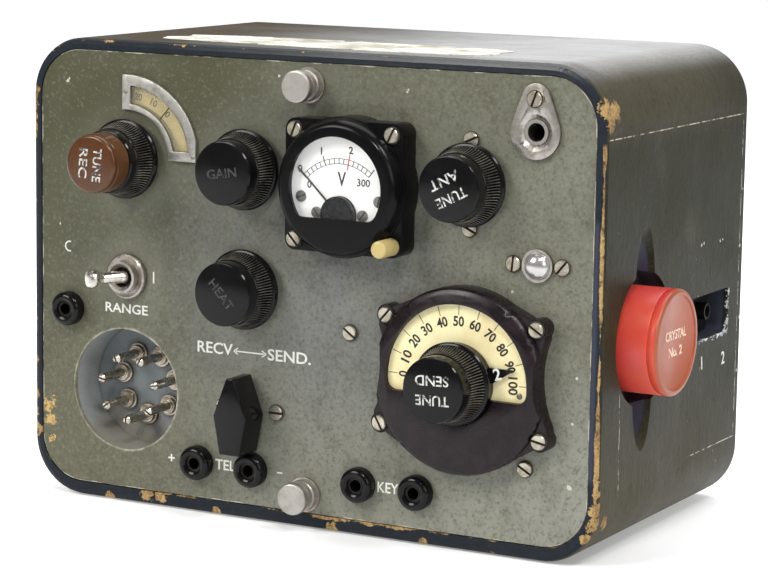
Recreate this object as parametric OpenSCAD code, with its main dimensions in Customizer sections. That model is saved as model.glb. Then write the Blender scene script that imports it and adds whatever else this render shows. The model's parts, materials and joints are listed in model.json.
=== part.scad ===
// Portable shortwave radio station: a rounded wooden case with a sheet-metal control panel,
// a plug-in crystal in the right side, and the controls' working parts behind the panel.
// Millimetres. +X is right seen from the front, the front faces -Y, +Z is up.
// The origin is the middle of the case's underside.

/* [Case] */
// Width of the case
case_w = 220; // [216:1:250]
// Height of the case
case_h = 162; // [160:1:190]
// Depth of the case, front rim to back
case_d = 122; // [118:1:150]
// Outside radius of the four long corners
corner_r = 20; // [16:0.5:23]
// Thickness of the boards and the corner posts
wall = 8; // [6:0.5:9]
// Width of the eased edge round the front and the back
edge_w = 2; // [1:0.1:2.6]
// Reach of a corner post along each side
post_reach = 23.4; // [23.2:0.2:30]
// Thickness of the back board
back_t = 5; // [3:0.5:8]
// Width, height and length of a block that a thumb screw threads into
block_w = 22; // [14:1:30]
block_h = 9; // [7:0.5:12]
block_d = 14; // [8:1:24]

/* [Panel] */
// Thickness of the panel sheet
panel_t = 1.6; // [1.2:0.1:3]
// Depth of the panel's face behind the rim
panel_recess = 0.4; // [0.2:0.1:2]
// Width of the rim at the two sides
rim_side = 3.6; // [3:0.2:5]
// Width of the rim above the panel
rim_top = 4; // [3:0.2:5]
// Width of the rim below the panel
rim_bottom = 5.2; // [3.6:0.2:5.6]
// Corner radius of the panel
panel_r = 16; // [12:0.5:18]

/* [Knobs] */
// Radius of a knob's skirt
skirt_r = 13.8; // [12.6:0.1:14.4]
// Radius of a knob's knurled grip
grip_r = 11.6; // [10.6:0.1:12.2]
// Radius of a knob's flat face
face_r = 10.8; // [8:0.1:11.2]
// Height of a knob from the underside of its skirt to its face
knob_h = 14.8; // [12:0.2:18]
// Height of the shorter knob that carries the cap
capped_knob_h = 13; // [11.5:0.2:16]
// Gap between the panel and a knob's skirt
knob_gap = 2; // [1.9:0.1:4]
// Radius and height of the brown cap on the receiver knob
cap_r = 10.2; // [8:0.1:11]
cap_h = 8.8; // [5:0.2:12]
// Radius of the control shafts
shaft_r = 3; // [2:0.1:4]
// Depth to which a shaft enters its knob
shaft_grip = 9; // [5:0.5:10]

/* [Places of the knobs] */
// Receiver knob from the middle and from the base; places on the panel spread with the case
receiver_x = -70; // [-72:0.5:-64]
receiver_z = 121.5; // [116:0.5:123]
// Feedback knob from the middle and from the base
feedback_x = -22; // [-26:0.5:-20]
feedback_z = 121; // [116:0.5:123]
// Filament knob from the middle and from the base
filament_x = -21.8; // [-26:0.5:-18]
filament_z = 80.2; // [79:0.2:83]
// Antenna knob from the middle and from the base
antenna_x = 62.5; // [61:0.5:64]
antenna_z = 121.7; // [119:0.1:123]
// Transmitter knob from the middle and from the base
transmitter_x = 62.4; // [60:0.2:64]
transmitter_z = 57.8; // [56:0.2:60]

/* [Receiver window] */
// Outer and inner radius of the quarter-round window frame
frame_ro = 29; // [28:0.1:30]
frame_ri = 16.8; // [16:0.1:17.4]
// Outer and inner radius of the opening in it
sight_ro = 25.2; // [23:0.1:26]
sight_ri = 18.9; // [18.6:0.1:20]
// Thickness of the frame
frame_t = 1.5; // [1.2:0.1:2.4]
// Thickness of the window pane
pane_t = 0.5; // [0.3:0.1:0.8]
// Reach of the frame past the knob's axis at its left end
frame_left = 2; // [0:0.1:3]
// Height of the frame's lower end over the knob's axis
frame_low = 0.3; // [0:0.1:2]
// Start of the opening beside and above the knob's axis
sight_left = 1.3; // [0.8:0.1:4]
sight_low = 3.6; // [1.8:0.1:6]
// Radius and thickness of the turning scale disc
disc_r = 26; // [25.5:0.1:26.6]
disc_t = 0.8; // [0.5:0.1:1]

/* [Meter] */
// Middle of the meter from the case's middle and from the base
meter_x = 20; // [19:0.5:22]
meter_z = 118.5; // [117:0.5:120]
// Half the spacing of the ears
ear_half = 18.2; // [17.6:0.1:18.8]
// Corner radius of the ears
ear_r = 3.8; // [3.4:0.1:4.4]
// Height of the flange with the ears
flange_h = 9; // [7:0.2:9.4]
// Radius and height of the round case front
meter_r = 23.3; // [22.6:0.1:24]
meter_h = 15; // [14.8:0.1:17]
// Radius of the cover's front rim
cover_r = 19.7; // [19:0.1:21]
// Radius of the window and the depth of its straight lower edge under the middle
glass_r = 17.2; // [16:0.1:17.6]
glass_drop = 9.9; // [9:0.1:11]
// Radius of the window's two lower corners
glass_fillet = 4; // [2:0.1:5]
// Radius and depth of the barrel behind the panel
barrel_r = 19.6; // [19:0.1:20.4]
barrel_d = 16; // [12:0.5:24]
// Height of the dial's face over the panel
dial_h = 11; // [10.8:0.1:11.2]
// Depth of the needle's pivot under the meter's middle
pivot_drop = 8.9; // [8.6:0.1:9.2]
// Length of the needle and its angle at zero
needle_len = 21.6; // [18:0.2:23]
needle_zero = 136; // [130:1:142]

/* [Transmitter dial] */
// Radius and height of the round escutcheon
dial_r = 31; // [30.4:0.1:31.6]
dial_rise = 9; // [8.4:0.1:9.6]
// Radius of its flat front, inside the rounded shoulder
dial_flat_r = 28.6; // [27.6:0.1:29.4]
// Radius on which its four ears lie, and the angle of the upper and lower ears
ear_circle = 33.6; // [33:0.1:34]
ear_up = 35.5; // [33:0.5:38]
ear_down = 30; // [28:0.5:33]
// Radius and height of an ear
lug_r = 3.5; // [3.2:0.1:3.8]
lug_h = 5.6; // [4:0.2:5.8]
// Radius of the hollow in either side of the escutcheon
waist_r = 36; // [34:1:38]
// Radius of the scale window and the depth of its lower edge under the axis
scale_r = 25.7; // [24.5:0.1:26.4]
scale_drop = 4.7; // [4.2:0.1:5.5]
// Radius of the window's end corners
scale_fillet = 3.4; // [2:0.1:4]
// Thickness of the scale plate
scale_t = 1; // [0.6:0.1:1.4]
// Height of the scale plate's seat over the panel
scale_seat = 6; // [5:0.1:6.2]
// Radius of the hub under the knob, and the reach of its pointer from the axis
hub_r = 13.2; // [12:0.1:13.6]
pointer_reach = 21.8; // [19:0.2:24]
// Half the width of the pointer's root
pointer_half = 2.9; // [2:0.1:4]
// Angle of the pointer from the horizontal
pointer_angle = 16; // [4:1:176]
// Gap between the escutcheon and the knob above it
dial_knob_gap = 1.2; // [0.8:0.1:2]

/* [Selector and toggle] */
// Selector knob from the middle and from the base
selector_x = -20.2; // [-23:0.2:-18]
selector_z = 38; // [37.6:0.2:40]
// Half length of the selector bar
bar_half = 13.2; // [11:0.1:13.4]
// Half widths of the bar at its point, its middle and its tail
bar_point = 1.4; // [0.8:0.1:3]
bar_middle = 6.4; // [5.6:0.1:7]
bar_tail = 3.9; // [2:0.1:4.6]
// Height of the selector bar
bar_h = 12; // [10:0.2:16]
// Spacing of the two screws beside the selector
selector_screws = 21.2; // [20:0.2:22]
// Toggle switch from the middle and from the base
toggle_x = -70.4; // [-72:0.2:-64]
toggle_z = 80.3; // [79:0.1:82]
// Radius and thickness of the toggle's ring nut
nut_r = 8.1; // [7:0.1:9]
nut_t = 2.2; // [1.4:0.1:3]
// Outer radius and height of the toggle's bush
bush_r = 5.6; // [5.2:0.1:6]
bush_h = 4.8; // [4.4:0.1:5.2]
// Height of the lever's pivot over the panel
lever_pivot = 2.5; // [2.3:0.1:2.7]
// Length of the lever from its pivot to the middle of its end
lever_len = 12; // [10:0.2:15]
// Lean of the lever to either side
lever_lean = 30; // [20:1:32]
// Radii of the lever at its root and neck, and of its ball end
lever_root_r = 2.2; // [1.6:0.1:2.2]
lever_neck_r = 2; // [1.2:0.1:2]
lever_ball_r = 3.4; // [2.2:0.1:3.4]

/* [Push button] */
// Radius of the button
button_r = 2.9; // [2:0.1:3]
// Height of the button's face over the panel
button_h = 18; // [15:0.2:20]
// Travel of the button
button_travel = 3; // [1.5:0.1:4]

/* [Plug sockets] */
// Radius and height of a socket's head
head_r = 6; // [5:0.1:6]
head_h = 4.6; // [3.8:0.1:6]
// Radius of the plug bore
plug_r = 2.05; // [1.6:0.05:2.4]
// Outer radius and length of a contact tube
tube_r = 3; // [2.7:0.1:3.4]
tube_len = 16; // [14:0.5:18]
// Height of the socket row over the base
socket_z = 17.7; // [17:0.1:18.2]
// Left pair, right pair: the middle of each, and their spacing
pair_left_x = -30; // [-32:0.5:-29]
pair_right_x = 33.9; // [30:0.5:36]
pair_pitch = 21.8; // [19:0.2:22]
// Single socket from the middle and from the base
single_x = -94.6; // [-95.2:0.1:-93]
single_z = 66.9; // [66:0.1:70]

/* [Power connector] */
// Middle of the connector from the case's middle and from the base
cup_x = -71.4; // [-73:0.2:-68]
cup_z = 40; // [39:0.2:42]
// Inside radius and depth of the cup
cup_r = 21.4; // [19:0.1:22]
cup_depth = 14; // [10:0.5:18]
// Sheet thickness of the cup, and the width of the flange behind the panel
cup_t = 1; // [0.6:0.1:1.6]
cup_flange = 3; // [2:0.1:3.6]
// Number of contact pins
pin_count = 7; // [5:1:8]
// Radius of the circle of pins, and the angle of the first
pin_circle = 11.2; // [10.4:0.1:12]
pin_phase = 11.4; // [0:0.2:50]
// Radius of a pin
pin_r = 1.6; // [1.5:0.05:2.4]
// Radius of a pin's plated bush
bush_collar_r = 3.8; // [3.6:0.1:4.4]
// Height of a bush over the cup's floor
bush_rise = 2.4; // [1.6:0.1:4]
// Step from a pin's contact to its thinner foot, and the foot's height over the bush
pin_step = 0.3; // [0.2:0.05:0.6]
pin_lift = 0.5; // [0.3:0.1:1]

/* [Lamp and terminal] */
// Lamp from the middle and from the base
lamp_x = 87.2; // [85:0.2:88]
lamp_z = 97.2; // [95:0.2:99]
// Radius and height of the lamp's glass
lens_r = 4.5; // [3.6:0.1:4.8]
lens_h = 4.3; // [3.4:0.1:5]
// Wall of the lamp's bush
lamp_wall = 0.9; // [0.6:0.1:1.2]
// Spacing of the lamp's two screws
lamp_screws = 17.3; // [16.6:0.1:18]
// Earth terminal plate from the middle and from the base
terminal_x = 85.6; // [83:0.1:86.4]
terminal_z = 140; // [138:0.1:141]
// Radii of the plate's large and small ends, and the distance between them
terminal_big = 8.7; // [7.6:0.1:9.4]
terminal_small = 5; // [4:0.1:5.4]
terminal_len = 10.7; // [10:0.1:11.4]
// Thickness of the plate
terminal_t = 1.6; // [1.2:0.1:2.4]
// Outer radius and bore radius of the terminal's bush
terminal_bush_r = 4.2; // [3.8:0.1:4.8]
terminal_bore = 3; // [2:0.1:3.2]

/* [Screws] */
// Head and shank radius of the slotted panel screws
screw_head_r = 2.9; // [2.2:0.1:3]
screw_r = 1.5; // [1.1:0.1:1.6]
// Height of a head, and length of a shank
screw_head_h = 1.6; // [1.2:0.1:1.8]
screw_len = 12; // [10:0.5:14]
// Thumb screws from the middle, from the top and from the base
thumb_x = 1.8; // [0:0.2:4]
thumb_top = 11.4; // [11:0.1:13]
thumb_low = 11.6; // [11.4:0.1:13]
// Radius and height of a thumb screw's head
thumb_r = 5.4; // [4.4:0.1:6]
thumb_h = 10; // [8:0.2:12]
// Radius of its thread
thumb_thread = 2; // [1.5:0.1:2.4]
// Radius and thickness of its washer
washer_r = 6; // [5.6:0.1:6.2]
washer_t = 1; // [0.6:0.1:1.6]

/* [Crystal] */
// Middle of the crystal from the front rim and from the base
crystal_front = 34; // [32:0.5:38]
crystal_z = 70.5; // [68:0.5:76]
// Radius of the crystal holder, and how far it stands out of the case
crystal_r = 17.7; // [15:0.1:19]
crystal_out = 12; // [8:0.5:16]
// Radius of the round opening in the side
hole_r = 22.5; // [21.5:0.1:23.5]
// Half width of the slot behind it, and the distance of the slot's end from the back board
slot_r = 7.8; // [6.5:0.1:8.6]
slot_back = 8.6; // [7:0.2:13]
// Radius of the slot's two end corners
slot_corner = 2.6; // [1:0.1:4]
// Distance of a finger scoop's tip from the crystal's middle
scoop_tip = 37.6; // [34:0.2:40]
// Radius of a scoop and the slope of its floor
scoop_r = 8; // [6:0.2:10]
scoop_slope = 21; // [16:0.5:24]
// Spacing, radius and length of the crystal's pins
crystal_pitch = 14; // [10:0.5:20]
crystal_pin_r = 2; // [1.4:0.05:2.2]
crystal_pin_len = 11; // [8:0.5:13]
// Thickness and half height of the socket plate behind the opening
plate_t = 5; // [3:0.5:7]
plate_half = 24; // [23.8:0.1:24.6]
// Distance of the rear antenna socket from the slot's end, and the pitch of the two antenna sockets
antenna_end = 9.4; // [7.5:0.1:12]
antenna_pitch = 19; // [17:0.5:21]

/* [Inside] */
// Side and depth of a variable capacitor
tuner_w = 34; // [32:0.5:36]
tuner_d = 30; // [24:0.5:36]
// Stand-off of the receiver's capacitor, and the distance of its two posts from the axis
standoff = 5; // [3:0.2:7]
post_arm = 29; // [28.8:0.1:30.2]
post_r = 2; // [1.4:0.1:2.2]
// Radius and depth of the filament rheostat
rheostat_r = 15; // [12:0.2:16]
rheostat_d = 18; // [14:0.5:24]
// Radius and depth of the selector switch
switch_r = 14.6; // [13.4:0.1:15]
switch_d = 24; // [18:0.5:30]
// Side and depth of the toggle switch's body
toggle_w = 15; // [13:0.5:16]
toggle_d = 18; // [14:0.5:24]
// Side and depth of the push button's contact block
contact_w = 11; // [9:0.5:12]
contact_d = 12; // [9:0.5:16]
// Distance of the chassis plate behind the panel, and its thickness
chassis_back = 46; // [42:0.5:50]
chassis_t = 2; // [1:0.1:3]
// Height of the chassis plate, and the distance of its left end from the middle
chassis_h = 74; // [60:0.5:80]
chassis_left = 84; // [80:0.5:86]
// Width of an arm of the chassis, and the height of its foot
arm_w = 12; // [8:0.5:13]
arm_h = 14; // [10:0.5:16]
// Place of the left arm's screw on the panel
arm_x = 18.7; // [17:0.1:20]
arm_z = 68.9; // [66:0.1:71]
// Distance of the right arm's screw from the transmitter's axis, to the right and down
arm_out = 21.9; // [21:0.1:23]
arm_down = 27.6; // [27:0.1:29]
// Radius and length of a valve
valve_r = 15; // [10:0.5:18]
valve_len = 56; // [40:1:58]
// Spacing of the valves
valve_pitch = 46; // [40:1:52]

/* [Clearances] */
// Play between pieces that are pushed or clamped together
slip = 0.05; // [0.02:0.01:0.08]
// Radial play of a shaft, pin or button in its bore
run = 0.08; // [0.04:0.01:0.1]
// Gap round a screw's head, or round the push button, in a moulding
spot_gap = 0.3; // [0.2:0.05:0.5]
// Play of the panel in its rebate
panel_gap = 0.3; // [0.2:0.05:0.6]

/* [Hidden] */
$fn = 64;
eps = 0.01;
over = 1;

// Planes and outlines of the case and the panel
front_y = -case_d / 2;
panel_y = front_y + panel_recess;
ring_d = case_d - back_t;
ledge = panel_recess + panel_t;
panel_w = case_w - 2 * rim_side;
panel_h = case_h - rim_top - rim_bottom;
panel_mid = rim_bottom + panel_h / 2;

// The layout is drawn for a case of 220 by 162, and spreads with the case
spread_x = case_w / 220;
spread_z = case_h / 162;
function laid(x, z) = [x * spread_x, z * spread_z];

// Places on the panel, [x, z]
receiver_at = laid(receiver_x, receiver_z);
feedback_at = laid(feedback_x, feedback_z);
filament_at = laid(filament_x, filament_z);
antenna_at = laid(antenna_x, antenna_z);
transmitter_at = laid(transmitter_x, transmitter_z);
meter_at = laid(meter_x, meter_z);
selector_at = laid(selector_x, selector_z);
toggle_at = laid(toggle_x, toggle_z);
button_at = meter_at + ear_half * [1, -1];
cup_at = laid(cup_x, cup_z);
lamp_at = laid(lamp_x, lamp_z);
terminal_at = laid(terminal_x, terminal_z);
terminal_reach = terminal_len * spread_z;
terminal_screw_at = terminal_at + [0, terminal_reach];
thumbs_at = [[thumb_x, case_h - thumb_top * spread_z], [thumb_x, thumb_low]];
sockets_at = concat(
    [laid(single_x, single_z)],
    [for (middle = [pair_left_x, pair_right_x], s = [-1, 1]) laid(middle, socket_z) + [s * pair_pitch / 2, 0]]
);

// Heights over the panel's face
knob_face = knob_gap + knob_h;
dial_knob_base = dial_rise + dial_knob_gap;
scale_top = scale_seat + scale_t;
pointer_gap = 0.6;
pointer_t = 1;
hub_base = scale_top + pointer_gap;
hub_clear = hub_r + over;
tube_mouth = head_h - 1.2;
lever_ball = lever_root_r + 0.4;
lever_pin_r = 0.8;
lever_pin_len = 2 * (bush_r - 0.6);
socket_tail = panel_t + 6;

// Inside of the meter, by height over the panel
dial_t = 1;
dial_seat_h = dial_h - dial_t;
glass_t = 1;
glass_top = meter_h - 0.7;
dial_pocket_r = glass_r + 1.2;
works_r = dial_pocket_r - 1.6;
works_floor = -(panel_t + barrel_d - 2);
pivot_at = [0, -pivot_drop];
core_r = works_r - pivot_drop - 1.6;
core_top = dial_h + 0.2;
needle_h = dial_h + 0.6;
needle_t = 0.4;
bridge_h = needle_h + needle_t + 0.4;
bridge_t = 0.6;
spindle_r = 0.6;

// Small screws on the meter's dial, two beside the window and two that hold the movement
dial_screw_r = 1.1;
dial_screw_places = [[-14.6, -3.6], [14.6, -3.6], [-8.6, -8.6], [8.6, -8.6]];

// Screws of the panel: [x, z, height of the seat over the panel, angle of the slot]
meter_ears = [[-1, 1], [1, 1], [-1, -1]];
button_ear = [1, -1];
meter_slots = [68, 64, -48];
meter_screws = [for (i = [0 : 2])
    [meter_at[0] + meter_ears[i][0] * ear_half, meter_at[1] + meter_ears[i][1] * ear_half, flange_h, meter_slots[i]]];
dial_ears = [180 - ear_up, ear_up, 180 + ear_down, -ear_down];
dial_slots = [48, -32, -60, -12];
ear_upper = ear_circle * [cos(ear_up), sin(ear_up)];
ear_lower = ear_circle * [cos(ear_down), -sin(ear_down)];
ear_line = (ear_upper - ear_lower) / norm(ear_upper - ear_lower);
ear_normal = [ear_line[1], -ear_line[0]];
waist_in = 0.4;
spot_depth = 0.2;
waist_at = (ear_upper + ear_lower) / 2 + (waist_r - waist_in) * ear_normal;
dial_screws_at = [for (i = [0:3]) [
    transmitter_at[0] + ear_circle * cos(dial_ears[i]),
    transmitter_at[1] + ear_circle * sin(dial_ears[i]), lug_h - spot_depth, dial_slots[i]]];
antenna_screw_half = 14.5;
antenna_screws = [for (s = [-1, 1]) [antenna_at[0], antenna_at[1] + s * antenna_screw_half, 0, 25 * s]];
lamp_screws_at = [for (s = [-1, 1]) [lamp_at[0] + s * lamp_screws / 2, lamp_at[1], 0, s > 0 ? 50 : 84]];
selector_screws_at = [for (s = [-1, 1]) [selector_at[0] + s * selector_screws / 2, selector_at[1] + 0.6, 0, 0]];
arm_left_at = laid(arm_x, arm_z);
arm_right_at = transmitter_at + [arm_out, -arm_down];
chassis_low = arm_right_at[1] - arm_h / 2;
arm_screws = [[arm_left_at[0], arm_left_at[1], 0, -35], [arm_right_at[0], arm_right_at[1], 0, -30]];
terminal_screw = [[terminal_screw_at[0], terminal_screw_at[1], terminal_t, 70]];
screws_at = concat(meter_screws, dial_screws_at, antenna_screws, lamp_screws_at,
    selector_screws_at, arm_screws, terminal_screw);

// Side of a variable capacitor in this case, and the slant of the receiver capacitor's two posts
tuner_side = tuner_w * min(spread_x, spread_z);
post_turn = 45;

// Places on the right side: y of the crystal, its two pins, the slot's end and the antenna sockets
crystal_y = front_y + crystal_front;
crystal_pins_at = [for (s = [-1, 1]) s * crystal_pitch / 2];
slot_reach = ring_d - crystal_front - slot_back;
antenna_socket_2 = slot_reach - antenna_end;
antenna_socket_1 = antenna_socket_2 - antenna_pitch;

// Local frames. On the panel: X right, Y up, Z out of the panel. On the right side: X back, Y up, Z out.
module on_panel(at, h = 0) {
    translate([at[0], panel_y - h, at[1]]) rotate([90, 0, 0]) children();
}

module on_side(h = 0) {
    translate([case_w / 2 + h, crystal_y, crystal_z]) rotate([90, 0, 90]) children();
}

// Basic shapes
module rounded_plate(w, h, r, t) {
    linear_extrude(t) {
        square([w - 2 * r, h], center = true);
        square([w, h - 2 * r], center = true);
        for (sx = [-1, 1], sy = [-1, 1]) translate([sx * (w / 2 - r), sy * (h / 2 - r)]) circle(r);
    }
}

module drill(r, low, high) {
    translate([0, 0, low]) cylinder(r = r, h = high - low);
}

module pipe(r_out, r_in, low, high) {
    difference() {
        drill(r_out, low, high);
        drill(r_in, low - over, high + over);
    }
}

// A round opening cut off by a straight lower edge, with rounded lower corners
module cut_round(r, drop, fillet, low, high) {
    corner_y = fillet - drop;
    corner_x = sqrt(pow(r - fillet, 2) - pow(corner_y, 2));
    touch_y = corner_y * r / (r - fillet);
    translate([0, 0, low]) linear_extrude(high - low) {
        intersection() {
            circle(r);
            translate([-r, touch_y]) square([2 * r, r - touch_y]);
        }
        for (s = [-1, 1]) translate([s * corner_x, corner_y]) circle(fillet);
        translate([-corner_x, -drop]) square([2 * corner_x, drop + touch_y + over]);
    }
}

// A quarter ring that starts a little beside and above its centre
module quarter_ring(ro, ri, left, low, z0, z1) {
    translate([0, 0, z0]) linear_extrude(z1 - z0) intersection() {
        difference() {
            circle(ro);
            circle(ri);
        }
        translate([left, low]) square(ro + over);
    }
}

module knob_body(height, base) {
    skirt_t = 1.8;
    bevel = 0.6;
    shoulder = 1.4;
    difference() {
        rotate_extrude() polygon([
            [0, base], [skirt_r - bevel, base], [skirt_r, base + bevel], [skirt_r, base + skirt_t],
            [skirt_r - bevel, base + skirt_t + bevel], [grip_r + bevel, base + skirt_t + shoulder],
            [grip_r, base + skirt_t + 2 * shoulder], [grip_r, base + height - 2 * bevel],
            [face_r, base + height], [0, base + height]
        ]);
        drill(shaft_r + slip, base - over, base + shaft_grip);
    }
}

module control_shaft(base, inside) {
    drill(shaft_r, -(panel_t + inside), base + shaft_grip - 0.2);
}

// The case
module edge_profile() {
    belly = 0.28 * edge_w;
    polygon([
        [corner_r - edge_w, 0], [corner_r - belly, -belly], [corner_r, -edge_w],
        [corner_r + over, -edge_w], [corner_r + over, over], [corner_r - edge_w, over]
    ]);
}

// What eases the outer edge of the case at the plane Z = 0
module edge_cut() {
    for (k = [0 : 3]) rotate(90 * k) {
        reach = (k % 2 == 0 ? case_w : case_h) / 2 - corner_r;
        span = (k % 2 == 0 ? case_h : case_w) / 2 - corner_r;
        translate([reach, span, 0]) rotate([90, 0, 0]) linear_extrude(2 * span) edge_profile();
        translate([reach, span, 0]) rotate_extrude(angle = 90) edge_profile();
    }
}

module shell_ring() {
    on_panel([0, case_h / 2], panel_recess) difference() {
        translate([0, 0, -ring_d]) rounded_plate(case_w, case_h, corner_r, ring_d);
        translate([0, 0, -ring_d - over])
            rounded_plate(case_w - 2 * wall, case_h - 2 * wall, corner_r - wall, ring_d + 2 * over);
        translate([0, panel_mid - case_h / 2, -ledge])
            rounded_plate(panel_w + 2 * panel_gap, panel_h + 2 * panel_gap, panel_r + panel_gap, ledge + over);
        edge_cut();
    }
}

module shell_slice(x0, x1, z0, z1) {
    intersection() {
        shell_ring();
        translate([x0, front_y - over, z0]) cube([x1 - x0, case_d + 2 * over, z1 - z0]);
    }
}

module case_boards() {
    flat_x = case_w / 2 - post_reach;
    color("DarkOliveGreen") {
        shell_slice(-flat_x, flat_x, case_h - 2 * wall, case_h + over);
        shell_slice(-flat_x, flat_x, -over, 2 * wall);
        shell_slice(-case_w / 2 - over, -case_w / 2 + 2 * wall, post_reach, case_h - post_reach);
    }
}

module crystal_opening() {
    on_side() {
        drill(hole_r, -wall - over, over);
        translate([0, 0, -wall - over]) linear_extrude(wall + 2 * over) {
            translate([0, -slot_r]) square([slot_reach - slot_corner, 2 * slot_r]);
            translate([0, slot_corner - slot_r]) square([slot_reach, 2 * (slot_r - slot_corner)]);
            for (s = [-1, 1]) translate([slot_reach - slot_corner, s * (slot_r - slot_corner)]) circle(slot_corner);
        }
        for (s = [-1, 1]) translate([0, s * scoop_tip, 0]) rotate([s * (90 + scoop_slope), 0, 0])
            translate([0, s * scoop_r, 0]) drill(scoop_r, -2 * scoop_r, scoop_tip - hole_r / 2);
    }
}

module right_board() {
    color("DarkOliveGreen") difference() {
        shell_slice(case_w / 2 - 2 * wall, case_w / 2 + over, post_reach, case_h - post_reach);
        crystal_opening();
    }
}

module corner_posts() {
    color("DarkOliveGreen") {
        for (x0 = [-case_w / 2 - over, case_w / 2 - post_reach], z0 = [-over, case_h - post_reach])
            shell_slice(x0, x0 + post_reach + over, z0, z0 + post_reach + over);
    }
}

module back_board() {
    color("DarkOliveGreen") on_panel([0, case_h / 2], panel_recess - case_d) difference() {
        rounded_plate(case_w, case_h, corner_r, back_t);
        mirror([0, 0, 1]) edge_cut();
    }
}

module fixing_blocks() {
    color("BurlyWood") for (i = [0, 1]) {
        board = i == 0 ? case_h - wall - block_h : wall;
        difference() {
            translate([thumb_x - block_w / 2, panel_y + panel_t, board]) cube([block_w, block_d, block_h]);
            on_panel(thumbs_at[i]) drill(thumb_thread + run, -(panel_t + block_d + over), over);
        }
    }
}

// Behind the opening in the right side
module socket_plate() {
    low_x = -plate_half;
    high_x = slot_reach + 4;
    color("SaddleBrown") on_side(-wall) difference() {
        translate([low_x, -plate_half, -plate_t]) cube([high_x - low_x, 2 * plate_half, plate_t]);
        for (y = crystal_pins_at) translate([0, y, 0]) drill(tube_r + slip, -plate_t - over, over);
        for (x = [antenna_socket_1, antenna_socket_2])
            translate([x, 0, 0]) drill(tube_r + slip, -plate_t - over, over);
    }
}

module contact_tube(mouth) {
    pipe(tube_r, plug_r, mouth - tube_len, mouth);
}

module contact_tubes() {
    antenna_mouth = 4;
    color("Gold") {
        for (at = sockets_at) on_panel(at) contact_tube(tube_mouth);
        on_side(-wall) {
            for (y = crystal_pins_at) translate([0, y, 0]) contact_tube(0);
            for (x = [antenna_socket_1, antenna_socket_2]) translate([x, 0, 0]) contact_tube(antenna_mouth);
        }
    }
}

module crystal_holder() {
    groove = 3.2;
    lip = 1.8;
    dish = 0.7;
    step = 0.5;
    color("Tomato") on_side() rotate_extrude() polygon([
        [0, -wall], [crystal_r, -wall], [crystal_r, crystal_out - groove - step],
        [crystal_r - step, crystal_out - groove], [crystal_r, crystal_out - groove + step],
        [crystal_r, crystal_out - step], [crystal_r - step, crystal_out],
        [crystal_r - lip, crystal_out], [crystal_r - lip, crystal_out - dish], [0, crystal_out - dish]
    ]);
}

module crystal_pins() {
    tip = 0.6;
    color("Silver") on_side(-wall) for (y = crystal_pins_at) translate([0, y, 0]) rotate_extrude() polygon([
        [0, 0], [crystal_pin_r, 0], [crystal_pin_r, tip - crystal_pin_len],
        [crystal_pin_r - tip, -crystal_pin_len], [0, -crystal_pin_len]
    ]);
}

// The panel and what passes through it
module front_panel() {
    through = panel_t + over;
    color("DarkKhaki") difference() {
        on_panel([0, panel_mid], -panel_t) rounded_plate(panel_w, panel_h, panel_r, panel_t);
        for (at = [receiver_at, feedback_at, filament_at, antenna_at, transmitter_at, selector_at])
            on_panel(at) drill(shaft_r + run, -through, over);
        on_panel(receiver_at) quarter_ring(sight_ro, sight_ri, sight_left, sight_low, -through, over);
        on_panel(meter_at) drill(barrel_r + slip, -through, over);
        on_panel(button_at) drill(button_r + run, -through, over);
        on_panel(toggle_at) drill(bush_r + slip, -through, over);
        on_panel(cup_at) drill(cup_r, -through, over);
        on_panel(lamp_at) drill(lens_r + lamp_wall + slip, -through, over);
        on_panel(terminal_at) drill(terminal_bush_r + slip, -through, over);
        for (at = sockets_at) on_panel(at) drill(head_r - 1.2 + slip, -through, over);
        for (at = thumbs_at) on_panel(at) drill(thumb_thread + run, -through, over);
        for (s = screws_at) on_panel(s) drill(screw_r + slip, -through, over);
    }
}

module window_frame() {
    color("Silver") on_panel(receiver_at) difference() {
        quarter_ring(frame_ro, frame_ri, -frame_left, frame_low, 0, frame_t);
        quarter_ring(sight_ro, sight_ri, sight_left, sight_low, -over, frame_t + over);
        window_pocket(0, -over, pane_t + slip);
    }
}

// Space of the pane inside the frame, drawn in by a play
module window_pocket(play, z0, z1) {
    lap = 0.7;
    quarter_ring(sight_ro + lap - play, sight_ri - lap + play, sight_left - lap + play,
        sight_low - lap + play, z0, z1);
}

module window_pane() {
    color("LightYellow", 0.5) on_panel(receiver_at) window_pocket(slip, 0, pane_t);
}

module scale_disc() {
    color("Khaki") on_panel(receiver_at) difference() {
        drill(disc_r, -(panel_t + 0.5 + disc_t), -(panel_t + 0.5));
        drill(shaft_r + slip, -(panel_t + 2 * over + disc_t), 0);
    }
}

// Knobs and shafts
module receiver_knob() { color("DimGray") on_panel(receiver_at) knob_body(capped_knob_h, knob_gap); }

module receiver_cap() {
    base = knob_gap + capped_knob_h;
    bevel = 0.8;
    color("SaddleBrown") on_panel(receiver_at) rotate_extrude() polygon([
        [0, base], [cap_r, base], [cap_r, base + cap_h - bevel], [cap_r - bevel, base + cap_h],
        [0, base + cap_h]
    ]);
}

module receiver_shaft() {
    color("Silver") on_panel(receiver_at) control_shaft(knob_gap, standoff + tuner_d - 4);
}

module feedback_knob() { color("DimGray") on_panel(feedback_at) knob_body(knob_h, knob_gap); }

module feedback_shaft() { color("Silver") on_panel(feedback_at) control_shaft(knob_gap, tuner_d - 4); }

module filament_knob() { color("DimGray") on_panel(filament_at) knob_body(knob_h, knob_gap); }

module filament_shaft() { color("Silver") on_panel(filament_at) control_shaft(knob_gap, rheostat_d - 4); }

module antenna_knob() { color("DimGray") on_panel(antenna_at) knob_body(knob_h, knob_gap); }

module antenna_shaft() { color("Silver") on_panel(antenna_at) control_shaft(knob_gap, tuner_d - 4); }

module transmitter_knob() { color("DimGray") on_panel(transmitter_at) knob_body(knob_h, dial_knob_base); }

module transmitter_shaft() {
    color("Silver") on_panel(transmitter_at) control_shaft(dial_knob_base, tuner_d - 4);
}

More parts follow.
